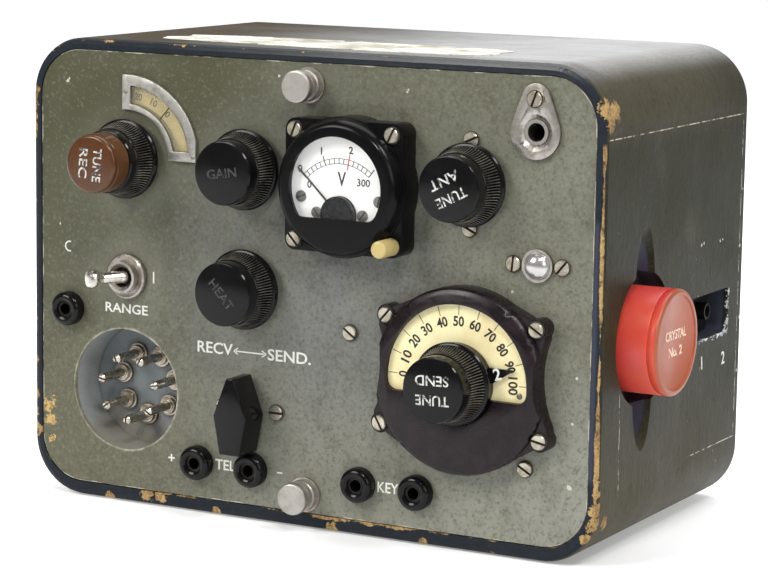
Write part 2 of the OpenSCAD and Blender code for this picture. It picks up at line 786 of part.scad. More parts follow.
module transmitter_pointer() {
    color("Black") on_panel(transmitter_at) rotate(pointer_angle) difference() {
        union() {
            drill(hub_r, hub_base, dial_knob_base);
            translate([0, 0, hub_base]) linear_extrude(pointer_t) polygon([
                [hub_r - over, -pointer_half], [pointer_reach, 0], [hub_r - over, pointer_half]
            ]);
        }
        drill(shaft_r + slip, hub_base - over, dial_knob_base + over);
    }
}

// Transmitter dial: a round body on a flange whose ears are joined along each side
module dial_side() {
    spread = 25;
    lap = 0.3;
    waist = 0.9;
    inner_x = 12;
    outward = (lug_r - waist) * ear_normal;
    rim_up = (dial_r - lap) * [cos(ear_up + spread), sin(ear_up + spread)];
    rim_down = (dial_r - lap) * [cos(ear_down + spread), -sin(ear_down + spread)];
    linear_extrude(lug_h) {
        polygon([
            rim_up, ear_upper + (lug_r - lap) * [-sin(ear_up), cos(ear_up)], ear_upper + outward,
            ear_lower + outward, ear_lower - (lug_r - lap) * [sin(ear_down), cos(ear_down)], rim_down,
            [inner_x, rim_down[1]], [inner_x, rim_up[1]]
        ]);
        translate(ear_upper) circle(lug_r);
        translate(ear_lower) circle(lug_r);
    }
}

module escutcheon() {
    shoulder = dial_rise - 2.4;
    color("DimGray") on_panel(transmitter_at) difference() {
        union() {
            rotate_extrude() polygon([
                [0, 0], [dial_r, 0], [dial_r, shoulder], [(2 * dial_r + dial_flat_r) / 3, dial_rise - 0.9],
                [dial_flat_r, dial_rise], [0, dial_rise]
            ]);
            dial_side();
            mirror([1, 0, 0]) dial_side();
        }
        cut_round(scale_r, scale_drop, scale_fillet, scale_seat, dial_rise + over);
        drill(hub_clear, scale_seat, dial_rise + over);
        drill(shaft_r + run, -over, dial_rise);
        for (side = [0, 1]) mirror([side, 0, 0]) translate(waist_at) drill(waist_r, -over, dial_rise + over);
        for (angle = dial_ears) rotate(angle) translate([ear_circle, 0, 0]) {
            drill(screw_r + slip, -over, lug_h + over);
            drill(screw_head_r + spot_gap, lug_h - spot_depth, dial_rise + over);
        }
    }
}

module transmitter_scale() {
    color("Wheat") on_panel(transmitter_at) difference() {
        cut_round(scale_r - slip, scale_drop - slip, scale_fillet - slip, scale_seat, scale_top);
        drill(shaft_r + run + over, scale_seat - over, scale_top + over);
    }
}

// Slotted screws that hold the panel's fittings
module slotted_screw(slot_angle) {
    slot_w = 0.8;
    slot_d = 0.8;
    difference() {
        union() {
            rotate_extrude() polygon([
                [0, 0], [screw_head_r, 0], [screw_head_r, screw_head_h / 2],
                [screw_head_r - 0.6, screw_head_h], [0, screw_head_h]
            ]);
            drill(screw_r, -screw_len, eps);
        }
        rotate(slot_angle) translate([-screw_head_r - over, -slot_w / 2, screw_head_h - slot_d])
            cube([2 * (screw_head_r + over), slot_w, slot_d + over]);
    }
}

module panel_screws() {
    color("Silver") for (s = screws_at) on_panel(s, s[2]) slotted_screw(s[3]);
}

// Selector and its switch
module selector_knob() {
    color("DimGray") on_panel(selector_at) difference() {
        translate([0, 0, knob_gap]) linear_extrude(bar_h) polygon([
            [-bar_point, bar_half], [-bar_middle, 0], [-bar_tail, -bar_half],
            [bar_tail, -bar_half], [bar_middle, 0], [bar_point, bar_half]
        ]);
        drill(shaft_r + slip, knob_gap - over, knob_gap + shaft_grip);
    }
}

module selector_shaft() { color("Silver") on_panel(selector_at) control_shaft(knob_gap, switch_d - 4); }

module selector_switch() {
    color("SaddleBrown") difference() {
        on_panel(selector_at, -panel_t) drill(switch_r, -switch_d, 0);
        on_panel(selector_at) drill(shaft_r + run, -(panel_t + switch_d - 3), 0);
        for (s = selector_screws_at) on_panel(s) drill(screw_r + slip, -screw_len - over, 0);
    }
}

// Meter
module meter_case() {
    color("DimGray") on_panel(meter_at) difference() {
        union() {
            rounded_plate(2 * (ear_half + ear_r), 2 * (ear_half + ear_r), ear_r, flange_h);
            drill(meter_r, 0, dial_seat_h);
            drill(barrel_r, -(panel_t + barrel_d), eps);
        }
        drill(works_r, works_floor, dial_seat_h + over);
        for (ear = meter_ears) translate(ear_half * ear) {
            drill(screw_r + slip, -over, flange_h + over);
            drill(screw_head_r + spot_gap, flange_h, meter_h);
        }
        translate(ear_half * button_ear) {
            drill(button_r + run, -over, flange_h + over);
            drill(button_r + spot_gap, flange_h, meter_h);
        }
    }
}

module meter_cover() {
    root = meter_r - 0.3;
    rise = meter_h - dial_seat_h;
    dome = [for (a = [0 : 18 : 90]) [cover_r + (root - cover_r) * cos(a), dial_seat_h + rise * sin(a)]];
    color("DimGray") on_panel(meter_at) difference() {
        rotate_extrude() polygon(concat([[0, dial_seat_h]], dome, [[0, meter_h]]));
        drill(dial_pocket_r, dial_seat_h - over, glass_top);
        cut_round(glass_r, glass_drop, glass_fillet, dial_seat_h, meter_h + over);
        for (ear = meter_ears) translate(ear_half * ear) drill(screw_head_r + spot_gap, flange_h, meter_h);
        translate(ear_half * button_ear) drill(button_r + spot_gap, flange_h, meter_h);
    }
}

module meter_dial() {
    color("White") on_panel(meter_at) difference() {
        drill(dial_pocket_r - slip, dial_seat_h, dial_h);
        translate(pivot_at) drill(core_r + slip, dial_seat_h - over, dial_h + over);
        for (at = dial_screw_places) translate(at) drill(dial_screw_r + slip, dial_seat_h - over, dial_h + over);
    }
}

module meter_glass() {
    color("LightCyan", 0.4) on_panel(meter_at) drill(dial_pocket_r - slip, glass_top - glass_t, glass_top);
}

// Core of the movement with the bridge that spans the needle's hub
module meter_movement() {
    leg = 1.6;
    color("DarkGray") on_panel(meter_at) translate(pivot_at) difference() {
        union() {
            drill(core_r, works_floor, core_top);
            translate([-core_r * 0.7, -core_r + 0.4, 0]) translate([0, 0, core_top - eps])
                cube([core_r * 1.4, leg, bridge_h + bridge_t - core_top + eps]);
            drill(core_r, bridge_h, bridge_h + bridge_t);
        }
        drill(spindle_r + run, core_top - 4, core_top + over / 4);
    }
}

module meter_needle() {
    root = 0.45;
    tip = 0.2;
    hub = 1.4;
    blade = needle_t / 2;
    color("Black") on_panel(meter_at) translate(pivot_at) {
        rotate_extrude() polygon([
            [0, core_top - 3.6], [spindle_r, core_top - 3.6], [spindle_r, needle_h], [hub, needle_h],
            [hub, needle_h + needle_t], [0, needle_h + needle_t]
        ]);
        rotate(needle_zero) translate([0, 0, needle_h + blade / 2]) linear_extrude(blade)
            polygon([[hub / 2, -root], [needle_len, -tip], [needle_len, tip], [hub / 2, root]]);
    }
}

module dial_screws() {
    head_r1 = 1.9;
    head_t = 0.5;
    color("Silver") on_panel(meter_at) for (at = dial_screw_places) translate(at) {
        drill(dial_screw_r, dial_seat_h, dial_h + eps);
        drill(head_r1, dial_h, dial_h + head_t);
    }
}

// Push button through the meter's fourth ear, and the contact block that carries it
module range_button() {
    bevel = 0.5;
    stem_end = -(panel_t + contact_d - 2 - button_travel);
    color("Khaki") on_panel(button_at) rotate_extrude() polygon([
        [0, stem_end], [button_r, stem_end], [button_r, button_h - bevel],
        [button_r - bevel, button_h], [0, button_h]
    ]);
}

module button_contact() {
    near = button_r + 0.7;
    color("SaddleBrown") difference() {
        on_panel(button_at, -panel_t) translate([-near, near - contact_w, -contact_d])
            cube([contact_w, contact_w, contact_d]);
        on_panel(button_at) drill(button_r + run, -(panel_t + contact_d - 1.5), 0);
    }
}

// Toggle switch
module toggle_bush() {
    mouth_r = bush_r - 0.9;
    seat_r = lever_ball + 1;
    seat_top = lever_pivot + lever_pin_r + 0.3;
    color("Silver") on_panel(toggle_at) difference() {
        drill(bush_r, -panel_t, bush_h);
        translate([0, 0, seat_top]) cylinder(r1 = seat_r, r2 = mouth_r, h = bush_h - seat_top + eps);
        drill(seat_r, -panel_t - over, seat_top + eps);
        translate([0, 0, lever_pivot]) rotate([90, 0, 0])
            drill(lever_pin_r + run, -lever_pin_len / 2 - run, lever_pin_len / 2 + run);
    }
}

module toggle_nut() {
    bevel = 0.6;
    color("Silver") on_panel(toggle_at) difference() {
        rotate_extrude() polygon([
            [0, 0], [nut_r, 0], [nut_r, nut_t - bevel], [nut_r - bevel, nut_t], [0, nut_t]
        ]);
        drill(bush_r + slip, -over, nut_t + over);
    }
}

module toggle_lever() {
    neck = lever_len - lever_ball_r;
    color("Silver") on_panel(toggle_at, lever_pivot) rotate([0, -lever_lean, 0]) {
        sphere(lever_ball);
        rotate([90, 0, 0]) drill(lever_pin_r, -lever_pin_len / 2, lever_pin_len / 2);
        cylinder(r1 = lever_root_r, r2 = lever_neck_r, h = neck);
        translate([0, 0, lever_len]) intersection() {
            sphere(lever_ball_r);
            drill(lever_ball_r + over, -lever_ball_r - over, lever_ball_r * 0.62);
        }
        translate([0, 0, neck - eps]) cylinder(r = lever_neck_r, h = lever_ball_r);
    }
}

module toggle_body() {
    color("SaddleBrown") on_panel(toggle_at, -panel_t) translate([-toggle_w / 2, -toggle_w / 2, -toggle_d])
        cube([toggle_w, toggle_w, toggle_d]);
}

// Power connector
module connector_cup() {
    color("SlateGray") on_panel(cup_at, -panel_t) difference() {
        union() {
            drill(cup_r + cup_t, -cup_depth - cup_t, 0);
            drill(cup_r + cup_flange, -cup_t, 0);
        }
        drill(cup_r, -cup_depth, over);
        for (i = [0 : pin_count - 1]) rotate(pin_phase + i * 360 / pin_count) translate([pin_circle, 0, 0])
            drill(bush_collar_r - 1.2 + slip, -cup_depth - cup_t - over, 0);
    }
}

module at_each_pin() {
    on_panel(cup_at, -panel_t) for (i = [0 : pin_count - 1])
        rotate(pin_phase + i * 360 / pin_count) translate([pin_circle, 0, -cup_depth]) children();
}

module pin_bushes() {
    tail = 3;
    color("Silver") at_each_pin() difference() {
        rotate_extrude() polygon([
            [0, -cup_t - tail], [bush_collar_r - 1.2, -cup_t - tail], [bush_collar_r - 1.2, 0], [bush_collar_r, 0],
            [bush_collar_r, bush_rise * 0.45], [bush_collar_r - 0.9, bush_rise], [0, bush_rise]
        ]);
        drill(pin_r - pin_step + slip, -cup_t - tail - over, bush_rise + over);
    }
}

module connector_pins() {
    slot_w = 0.6;
    slot_len = 5.6;
    tail = 8;
    tip = 0.7;
    pin_top = cup_depth + panel_t - 0.4;
    foot_r = pin_r - pin_step;
    shoulder = bush_rise + pin_lift;
    color("Gray") at_each_pin() difference() {
        rotate_extrude() polygon([
            [0, -tail], [foot_r, -tail], [foot_r, shoulder], [pin_r, shoulder],
            [pin_r, pin_top - tip], [pin_r - tip, pin_top], [0, pin_top]
        ]);
        translate([-pin_r - over, -slot_w / 2, pin_top - slot_len])
            cube([2 * (pin_r + over), slot_w, slot_len + over]);
    }
}

// Plug sockets: a moulded head and shank round each contact tube
module socket_heads() {
    shank_r = head_r - 1.2;
    bevel = 1.1;
    color("Black") for (at = sockets_at) on_panel(at) difference() {
        rotate_extrude() polygon([
            [0, -socket_tail], [shank_r, -socket_tail], [shank_r, 0], [head_r, 0], [head_r, head_h - bevel],
            [head_r - bevel, head_h], [0, head_h]
        ]);
        drill(tube_r + slip, -socket_tail - over, head_h + over);
    }
}

// Lamp
module lamp_bush() {
    rise = 1.4;
    plate_h = 10;
    foot_t = 1.5;
    outer = lens_r + lamp_wall;
    color("Silver") on_panel(lamp_at) difference() {
        union() {
            drill(outer, -panel_t - foot_t, rise);
            translate([-lamp_screws / 2 - 4, -plate_h / 2 - 0.8, -panel_t - foot_t])
                cube([lamp_screws + 8, plate_h + 1.6, foot_t]);
        }
        drill(lens_r + slip, -panel_t - foot_t - over, rise + over);
        for (s = [-1, 1]) translate([s * lamp_screws / 2, 0, 0])
            drill(screw_r + slip, -panel_t - foot_t - over, 0);
    }
}

module lamp_lens() {
    cap_h1 = lens_h - 1;
    ball_r = (lens_r * lens_r + cap_h1 * cap_h1) / (2 * cap_h1);
    color("White") on_panel(lamp_at) {
        drill(lens_r, -panel_t - 1.5, 1);
        intersection() {
            translate([0, 0, lens_h - ball_r]) sphere(ball_r);
            drill(lens_r, 1 - eps, lens_h + over);
        }
    }
}

// Earth terminal
module terminal_plate() {
    reach = terminal_reach;
    lean = asin((terminal_big - terminal_small) / reach);
    flank = [cos(lean), sin(lean)];
    sink = 1.7;
    color("Silver") on_panel(terminal_at) difference() {
        linear_extrude(terminal_t) {
            circle(terminal_big);
            translate([0, reach]) circle(terminal_small);
            polygon([
                terminal_big * [flank[0], flank[1]], terminal_small * flank + [0, reach],
                terminal_small * [-flank[0], flank[1]] + [0, reach], terminal_big * [-flank[0], flank[1]]
            ]);
        }
        drill(terminal_bush_r + slip, -over, terminal_t + over);
        translate([0, 0, 0.5]) cylinder(r1 = terminal_bush_r + slip, r2 = terminal_bush_r + sink,
            h = terminal_t - 0.5 + eps);
        translate([0, reach, 0]) drill(screw_r + slip, -over, terminal_t + over);
    }
}

module terminal_bush() {
    color("Silver") on_panel(terminal_at) pipe(terminal_bush_r, terminal_bore, -panel_t - 8, terminal_t - 0.8);
}

// Thumb screws that hold the panel in the case
module thumb_screw(at) {
    collar_h = 3;
    neck_r = thumb_r - 1.6;
    head_t = 3;
    bevel = 0.5;
    color("Silver") on_panel(at) {
        rotate_extrude() polygon([
            [0, washer_t], [thumb_r, washer_t], [thumb_r, washer_t + collar_h - bevel],
            [thumb_r - bevel, washer_t + collar_h], [neck_r, washer_t + collar_h],
            [neck_r, thumb_h - head_t], [thumb_r - bevel, thumb_h - head_t],
            [thumb_r, thumb_h - head_t + bevel], [thumb_r, thumb_h - bevel],
            [thumb_r - bevel, thumb_h], [0, thumb_h]
        ]);
        drill(thumb_thread, -(panel_t + block_d - 2), washer_t + eps);
    }
}

module thumb_screw_top() { thumb_screw(thumbs_at[0]); }

module thumb_screw_bottom() { thumb_screw(thumbs_at[1]); }

module thumb_washers() {
    color("Silver") for (at = thumbs_at) on_panel(at) pipe(washer_r, thumb_thread + run, 0, washer_t);
}

// Working parts behind the panel
module tuner_body(at, gap) {
    on_panel(at, -panel_t - gap) translate([-tuner_side / 2, -tuner_side / 2, -tuner_d])
        cube([tuner_side, tuner_side, tuner_d]);
}

module tuner_bore(at, gap) {
    wall = 3;
    on_panel(at) drill(shaft_r + run, -(panel_t + gap + tuner_d - wall), 0);
}

module receiver_post() {
    strap_t = 2;
    sunk = standoff + 0.6;
    drill(post_r, -sunk - strap_t / 2, 0);
    translate([-2 * post_r, -post_arm, -sunk - strap_t]) cube([4 * post_r, post_arm + post_r / 2, strap_t]);
}

module variable_capacitors() {
    color("LightGray") {
        difference() {
            union() {
                tuner_body(receiver_at, standoff);
                on_panel(receiver_at, -panel_t) for (turn = [post_turn, post_turn + 180])
                    rotate(turn) translate([0, post_arm, 0]) receiver_post();
            }
            tuner_bore(receiver_at, standoff);
        }
        difference() {
            tuner_body(feedback_at, 0);
            tuner_bore(feedback_at, 0);
        }
        difference() {
            tuner_body(antenna_at, 0);
            tuner_bore(antenna_at, 0);
            for (s = antenna_screws) on_panel(s) drill(screw_r + slip, -screw_len - over, 0);
        }
        difference() {
            tuner_body(transmitter_at, 0);
            tuner_bore(transmitter_at, 0);
        }
    }
}

module rheostat() {
    color("Peru") difference() {
        on_panel(filament_at, -panel_t) drill(rheostat_r, -rheostat_d, 0);
        on_panel(filament_at) drill(shaft_r + run, -(panel_t + rheostat_d - 3), 0);
    }
}

// Plate on two arms that hangs behind the controls and carries the valves
module chassis() {
    plate_w = chassis_left + arm_right_at[0] + arm_w / 2;
    color("LightSteelBlue") difference() {
        union() {
            translate([-chassis_left, panel_y + panel_t + chassis_back, chassis_low])
                cube([plate_w, chassis_t, chassis_h]);
            for (at = [arm_left_at, arm_right_at]) {
                translate([at[0] - arm_w / 2, panel_y + panel_t, at[1] - arm_h / 2])
                    cube([arm_w, chassis_t, arm_h]);
                translate([at[0] - arm_w / 2, panel_y + panel_t, at[1] - arm_h / 2])
                    cube([arm_w, chassis_back + chassis_t, chassis_t]);
            }
        }
        for (at = [arm_left_at, arm_right_at]) on_panel(at) drill(screw_r + slip, -screw_len - over, 0);
    }
}

module valves() {
    base_len = 20;
    neck = 3;
    mid_z = chassis_low + chassis_h / 2;
    color("WhiteSmoke") for (i = [-1 : 1])
        on_panel([i * valve_pitch, mid_z], -(panel_t + chassis_back + chassis_t)) rotate_extrude() polygon([
            [0, 0], [valve_r, 0], [valve_r, -base_len], [valve_r - 1, -base_len - neck],
            [valve_r - 1, -valve_len + 2 * neck], [valve_r / 2, -valve_len], [0, -valve_len]
        ]);
}

case_boards();
right_board();
corner_posts();
back_board();
fixing_blocks();
socket_plate();
contact_tubes();
front_panel();
window_frame();
window_pane();
receiver_knob();
receiver_cap();
receiver_shaft();
scale_disc();
feedback_knob();
feedback_shaft();
filament_knob();
filament_shaft();
antenna_knob();
antenna_shaft();
transmitter_knob();
transmitter_pointer();
transmitter_shaft();
escutcheon();
transmitter_scale();
panel_screws();
selector_knob();
selector_shaft();
selector_switch();
meter_case();
meter_cover();
meter_dial();
meter_glass();
meter_movement();
meter_needle();
dial_screws();
range_button();
button_contact();
toggle_bush();
toggle_nut();
toggle_lever();
toggle_body();
connector_cup();
pin_bushes();
connector_pins();
socket_heads();
lamp_bush();
lamp_lens();
terminal_plate();
terminal_bush();
thumb_screw_top();
thumb_screw_bottom();
thumb_washers();
crystal_holder();
crystal_pins();
variable_capacitors();
rheostat();
chassis();
valves();
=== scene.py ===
from collections import namedtuple
import json
import math

import bpy
from mathutils import Matrix, Vector


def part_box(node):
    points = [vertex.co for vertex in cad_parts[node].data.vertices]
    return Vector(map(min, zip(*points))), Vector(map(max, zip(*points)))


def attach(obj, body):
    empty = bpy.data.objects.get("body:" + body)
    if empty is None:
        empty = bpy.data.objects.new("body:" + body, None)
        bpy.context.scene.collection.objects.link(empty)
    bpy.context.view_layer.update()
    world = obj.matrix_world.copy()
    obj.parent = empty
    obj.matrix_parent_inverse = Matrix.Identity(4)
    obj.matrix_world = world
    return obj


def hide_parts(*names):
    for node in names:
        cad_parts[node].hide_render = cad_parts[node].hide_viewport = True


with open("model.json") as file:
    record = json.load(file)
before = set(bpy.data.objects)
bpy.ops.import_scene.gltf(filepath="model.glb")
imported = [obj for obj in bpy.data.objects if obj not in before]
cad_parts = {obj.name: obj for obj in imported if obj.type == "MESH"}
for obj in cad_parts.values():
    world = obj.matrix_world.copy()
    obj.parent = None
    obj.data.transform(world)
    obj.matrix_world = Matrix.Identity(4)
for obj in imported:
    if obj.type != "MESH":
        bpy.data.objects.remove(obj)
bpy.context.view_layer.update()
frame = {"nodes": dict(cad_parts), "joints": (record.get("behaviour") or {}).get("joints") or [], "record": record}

bl_info = {
    "name": "Shortwave station dressing",
    "version": (1, 0, 0),
    "blender": (4, 5, 0),
    "location": "View3D > Sidebar > Station",
    "description": "Turned knobs, printed scales, lettering and worn finishes for a portable radio station",
    "category": "Object",
}

# Lengths in this script are in millimetres, in the part's frame; MM turns them into Blender's metres
MM = 0.001


Corner = namedtuple("Corner", "x y z")


def box(node):
    """Low and high corners of a node."""
    return [Corner(*[v / MM for v in corner]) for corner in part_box(node)]


CASE_LOW, CASE_HIGH = box("corner_posts")
CASE_BACK = box("back_board")[1].y
CASE_CORNER = 20
PANEL_LOW, PANEL_HIGH = box("front_panel")
PANEL_CORNER = 16
PANEL_Y = PANEL_LOW.y
SIDE_X = CASE_HIGH.x
# The rim's paint fades out between these depths behind the front
RIM = (0.9, 1.5)
# Antenna slot's rear end behind the front, and its half height
SLOT_END = 108.4
SLOT_HALF = 7.8
CUP_FLOOR = box("connector_cup")[1].y - 1.0
# Tops of the screw heads above the panel
HEADS = (1.6, 3.2, 7.0, 10.6)
# Profile of a knob from its base, (radius, height): rounded skirt and ribbed flare; a plain grip follows
SKIRT = [(0, 0), (12.5, 0), (13.2, 0.2), (13.65, 0.6), (13.8, 1.15), (13.72, 1.7), (13.4, 2.15), (12.95, 2.4),
         (12.6, 2.45), (12.5, 2.7)]
FLARE = [(12.95, 2.95), (12.7, 3.5), (12.25, 4.5), (11.85, 5.8), (11.58, 7.2), (11.42, 8.5), (11.35, 9.4)]
# Chips in the case's paint: x, depth behind the front, z and radius
CASE_CHIPS = (
    (110, 3, 148, 3.8), (109, 8, 147.4, 3.4), (110, 4, 143.5, 2.6), (110, 0, 29, 1.7), (110, 0, 24.5, 2.0),
    (109.6, 0, 19.5, 2.6), (108.6, 1, 14.5, 2.6), (106, 1, 9.6, 1.8), (109, 7.5, 14.5, 2.0),
    (108.4, 9.5, 12.6, 1.5), (-110, 0, 142, 2.6), (-110, 0, 138, 2.2), (-110, 0, 134, 1.8),
    (-110, 0, 130, 1.9), (-110, 0, 127, 1.5), (-110, 0, 104, 1.2), (-110, 0, 62, 1.3), (-110, 0, 47, 1.5),
    (-110, 0, 35, 1.9), (-110, 0, 28, 2.0), (-110, 0, 22, 2.8), (-78, 0, 0.6, 2.2), (-62, 0, 3.2, 2.4),
    (-56, 0, 3.6, 2.2), (-34, 0, 0.8, 1.8), (12, 0, 1.2, 2.2), (47, 0, 0.8, 1.8), (-80, 0, 161.6, 0.9),
    (-48, 0, 161.8, 0.9), (-24, 0, 161.8, 0.8), (88, 4, 160.5, 1.8), (108, 118, 24, 1.8))
# Pale dots on the right side: depth behind the front and z
SIDE_DOTS = ((82, 96.2), (84, 96.6), (99, 95.6), (101, 96), (118.5, 47), (119.5, 66), (117.6, 92),
             (118.6, 112))
# Pale flakes on the panel: x, z and radius
PANEL_FLAKES = (
    (-95.6, 147, 0.5), (-94.9, 147.8, 0.4), (39, 151, 0.4), (38.6, 150.2, 0.4), (-10, 153, 0.5),
    (101.5, 62, 0.5), (100.5, 47, 0.45), (100, 26, 0.9), (-99, 96.4, 0.45), (78, 88, 0.4))
# Radius of the handled, paler enamel round each control
HALOS = {"receiver_turn": 17, "feedback_turn": 16, "filament_turn": 16, "antenna_turn": 17, "toggle_tip": 11,
         "upper_thumb_screw_turn": 9, "lower_thumb_screw_turn": 9, "selector_turn": 17}
# Torn outline of the paper on the top: x and depth behind the front
PAPER = [(-68, 18), (-53, 16.4), (-44, 15), (-31, 14), (-28.6, 17), (-26, 13.4), (-8, 12.4), (7, 12),
         (9.6, 15.2), (12, 11.8), (33, 12.4), (49, 13.4), (55, 16), (59.4, 25), (56.6, 32), (58.4, 39),
         (50, 44.6), (39, 45.6), (36.4, 40.6), (32, 46), (11, 46.8), (-5, 47.6), (-8.6, 42), (-12, 47.6),
         (-33, 47.2), (-51, 45.8), (-60, 42.6), (-69, 40), (-65.6, 33), (-71.4, 27)]


def pivot_of(joint):
    """A joint's place (x, y, z)."""
    return next([v / MM for v in j["pos_m"]] for j in frame["joints"] if j["name"] == joint)


def axis_of(joint):
    """Place of a control's axis seen from the front, (x, z)."""
    x, _, z = pivot_of(joint)
    return x, z


def middle_of(node):
    """Middle of a node seen from the front, (x, z)."""
    low, high = box(node)
    return (low.x + high.x) / 2, (low.z + high.z) / 2


def round_size(node):
    """Height of a round node off the panel, and its radius."""
    low, high = box(node)
    return high.y - low.y, (high.x - low.x) / 2


def mount_places(kind):
    """Places on the panel, (x, z), of the mounts with a word in their names."""
    mounts = [m for m in frame["record"]["mounts"] if kind in m["name"] and m["axis"][1] < -0.5]
    return [(m["pos_m"][0] / MM, m["pos_m"][2] / MM) for m in mounts]


# Sizes and colours that a user would change


class StationSizes(bpy.types.PropertyGroup):
    """Sizes of the dressing."""

    knurl_ribs: bpy.props.IntProperty(
        name="Knurl ribs", description="Ribs round a knob's grip", default=80, min=24, max=160)
    knurl_depth: bpy.props.FloatProperty(
        name="Knurl depth", description="Depth of the ribs", unit="LENGTH", precision=5,
        default=0.5 * MM, min=0.05 * MM, max=0.8 * MM)
    print_depth: bpy.props.FloatProperty(
        name="Print thickness", description="Thickness of printed marks", unit="LENGTH", precision=5,
        default=0.05 * MM, min=0.02 * MM, max=0.2 * MM)


def colour_choice(label, words, value):
    return bpy.props.FloatVectorProperty(
        name=label, description=words, subtype="COLOR", size=3, min=0, max=1, default=value)


class StationColours(bpy.types.PropertyGroup):
    """Main colours of the finishes."""

    case: colour_choice("Case", "Olive paint of the wooden case", (0.017, 0.0172, 0.0082))
    rim: colour_choice("Rim", "Blue-black paint of the front rim", (0.0135, 0.0175, 0.0235))
    wood: colour_choice("Bare wood", "Wood where the paint is gone", (0.44, 0.29, 0.12))
    panel: colour_choice("Panel", "Olive-grey enamel", (0.052, 0.051, 0.0195))
    moulding: colour_choice("Moulding", "Black moulded controls", (0.0045, 0.0042, 0.0048))
    scale: colour_choice("Scales", "Yellowed scales", (0.92, 0.845, 0.50))
    crystal: colour_choice("Crystal", "Red crystal holder", (0.63, 0.056, 0.052))
    letters: colour_choice("Letters", "White painted letters", (0.72, 0.73, 0.68))


def sizes():
    return bpy.context.scene.station_sizes


def colours():
    return bpy.context.scene.station_colours


# Node helpers


class Value:
    """A number or colour that varies over a surface; arithmetic on it adds nodes."""

    def __init__(self, finish, socket):
        self.finish = finish
        self.socket = socket

    def __add__(self, other):
        return self.finish.calc("ADD", self, other)

    def __sub__(self, other):
        return self.finish.calc("SUBTRACT", self, other)

    def __rsub__(self, other):
        return self.finish.calc("SUBTRACT", other, self)

    def __mul__(self, other):
        return self.finish.calc("MULTIPLY", self, other)

    def __abs__(self):
        return self.finish.calc("ABSOLUTE", self)

    def clamped(self):
        """Kept between zero and one."""
        return self.finish.calc("ADD", self, 0.0, use_clamp=True)

    def fade(self, low, high, bottom=0.0, top=1.0):
        """Eases from bottom to top while this value goes from low to high."""
        return self.finish.value("ShaderNodeMapRange", {
            "Value": self, "From Min": low, "From Max": high, "To Min": bottom, "To Max": top,
        }, interpolation_type="SMOOTHSTEP")

    def below(self, low, high):
        """One up to low, easing to zero at high."""
        return self.fade(low, high, 1.0, 0.0)


class Finish:
    """A procedural material on object coordinates."""

    def __init__(self, name):
        self.material = bpy.data.materials.new(name)
        self.material.use_nodes = True
        self.tree = self.material.node_tree
        self.surface = self.tree.nodes["Principled BSDF"]
        self.metres = self.value("ShaderNodeTexCoord", output="Object")
        self.place = self.value("ShaderNodeVectorMath", {0: self.metres, "Scale": 1 / MM}, operation="SCALE")

    def node(self, kind, sockets=None, **settings):
        made = self.tree.nodes.new(kind)
        for key, value in settings.items():
            setattr(made, key, value)
        for key, value in (sockets or {}).items():
            self.feed(made.inputs[key], value)
        return made

    def value(self, kind, sockets=None, output=0, **settings):
        return Value(self, self.node(kind, sockets, **settings).outputs[output])

    def feed(self, socket, value):
        if isinstance(value, Value):
            self.tree.links.new(value.socket, socket)
        elif socket.type == "RGBA":
            socket.default_value = (*value, 1)
        else:
            socket.default_value = value

    def set(self, **sockets):
        """Feeds sockets of the surface, named with _ for a space."""
        for key, value in sockets.items():
            self.feed(self.surface.inputs[key.replace("_", " ")], value)

    def calc(self, operation, a, b=0.0, **settings):
        return self.value("ShaderNodeMath", {0: a, 1: b}, operation=operation, **settings)

    def most(self, *values):
        total = values[0]
        for value in values[1:]:
            total = self.calc("MAXIMUM", total, value)
        return total

    def reach(self, a, b):
        """Straight distance over two legs at right angles."""
        return self.calc("SQRT", a * a + b * b)

    def noise(self, scale, detail, roughness, stretch=(1, 1, 1), offset=(0, 0, 0)):
        """Noise at a scale per metre."""
        where = self.metres
        if stretch != (1, 1, 1) or offset != (0, 0, 0):
            where = self.value("ShaderNodeMapping", {"Vector": where, "Scale": stretch, "Location": offset})
        return self.value("ShaderNodeTexNoise", {
            "Vector": where, "Scale": scale, "Detail": detail, "Roughness": roughness}, output="Fac")

    def mix(self, amount, first, second):
        """A colour between two others; the mix node keeps its colour sockets at 6, 7 and 2."""
        return self.value("ShaderNodeMix", {0: amount, 6: first, 7: second}, output=2, data_type="RGBA")

    def bump(self, height, distance, strength):
        """Adds relief and gives the finished material."""
        self.set(Normal=self.value("ShaderNodeBump", {
            "Strength": strength, "Distance": distance * MM, "Height": height}))
        return self.material

    def axes(self):
        split = self.node("ShaderNodeSeparateXYZ", {0: self.place})
        return [Value(self, socket) for socket in split.outputs]

    def away(self, centre):
        """Distance from a point."""
        return self.value("ShaderNodeVectorMath", {0: self.place, 1: centre}, "Value", operation="DISTANCE")

    def ball(self, centre, radius, ragged, grain):
        """A ragged patch round a point: one inside, zero outside."""
        wavy = self.away(centre) + grain.fade(0.25, 0.75, -ragged, ragged)
        return wavy.below(radius * 0.92, radius)

    def outline(self, low, high, corner):
        """Distance outside a rounded rectangle seen from the front; zero on its outline."""
        x, _, z = self.axes()
        past_x = abs(x) - (high.x - corner)
        past_z = abs(z - (low.z + high.z) / 2) - ((high.z - low.z) / 2 - corner)
        outside = self.reach(self.most(past_x, 0.0), self.most(past_z, 0.0))
        inside = self.calc("MINIMUM", self.most(past_x, past_z), 0.0)
        return outside + inside - corner


# Finishes


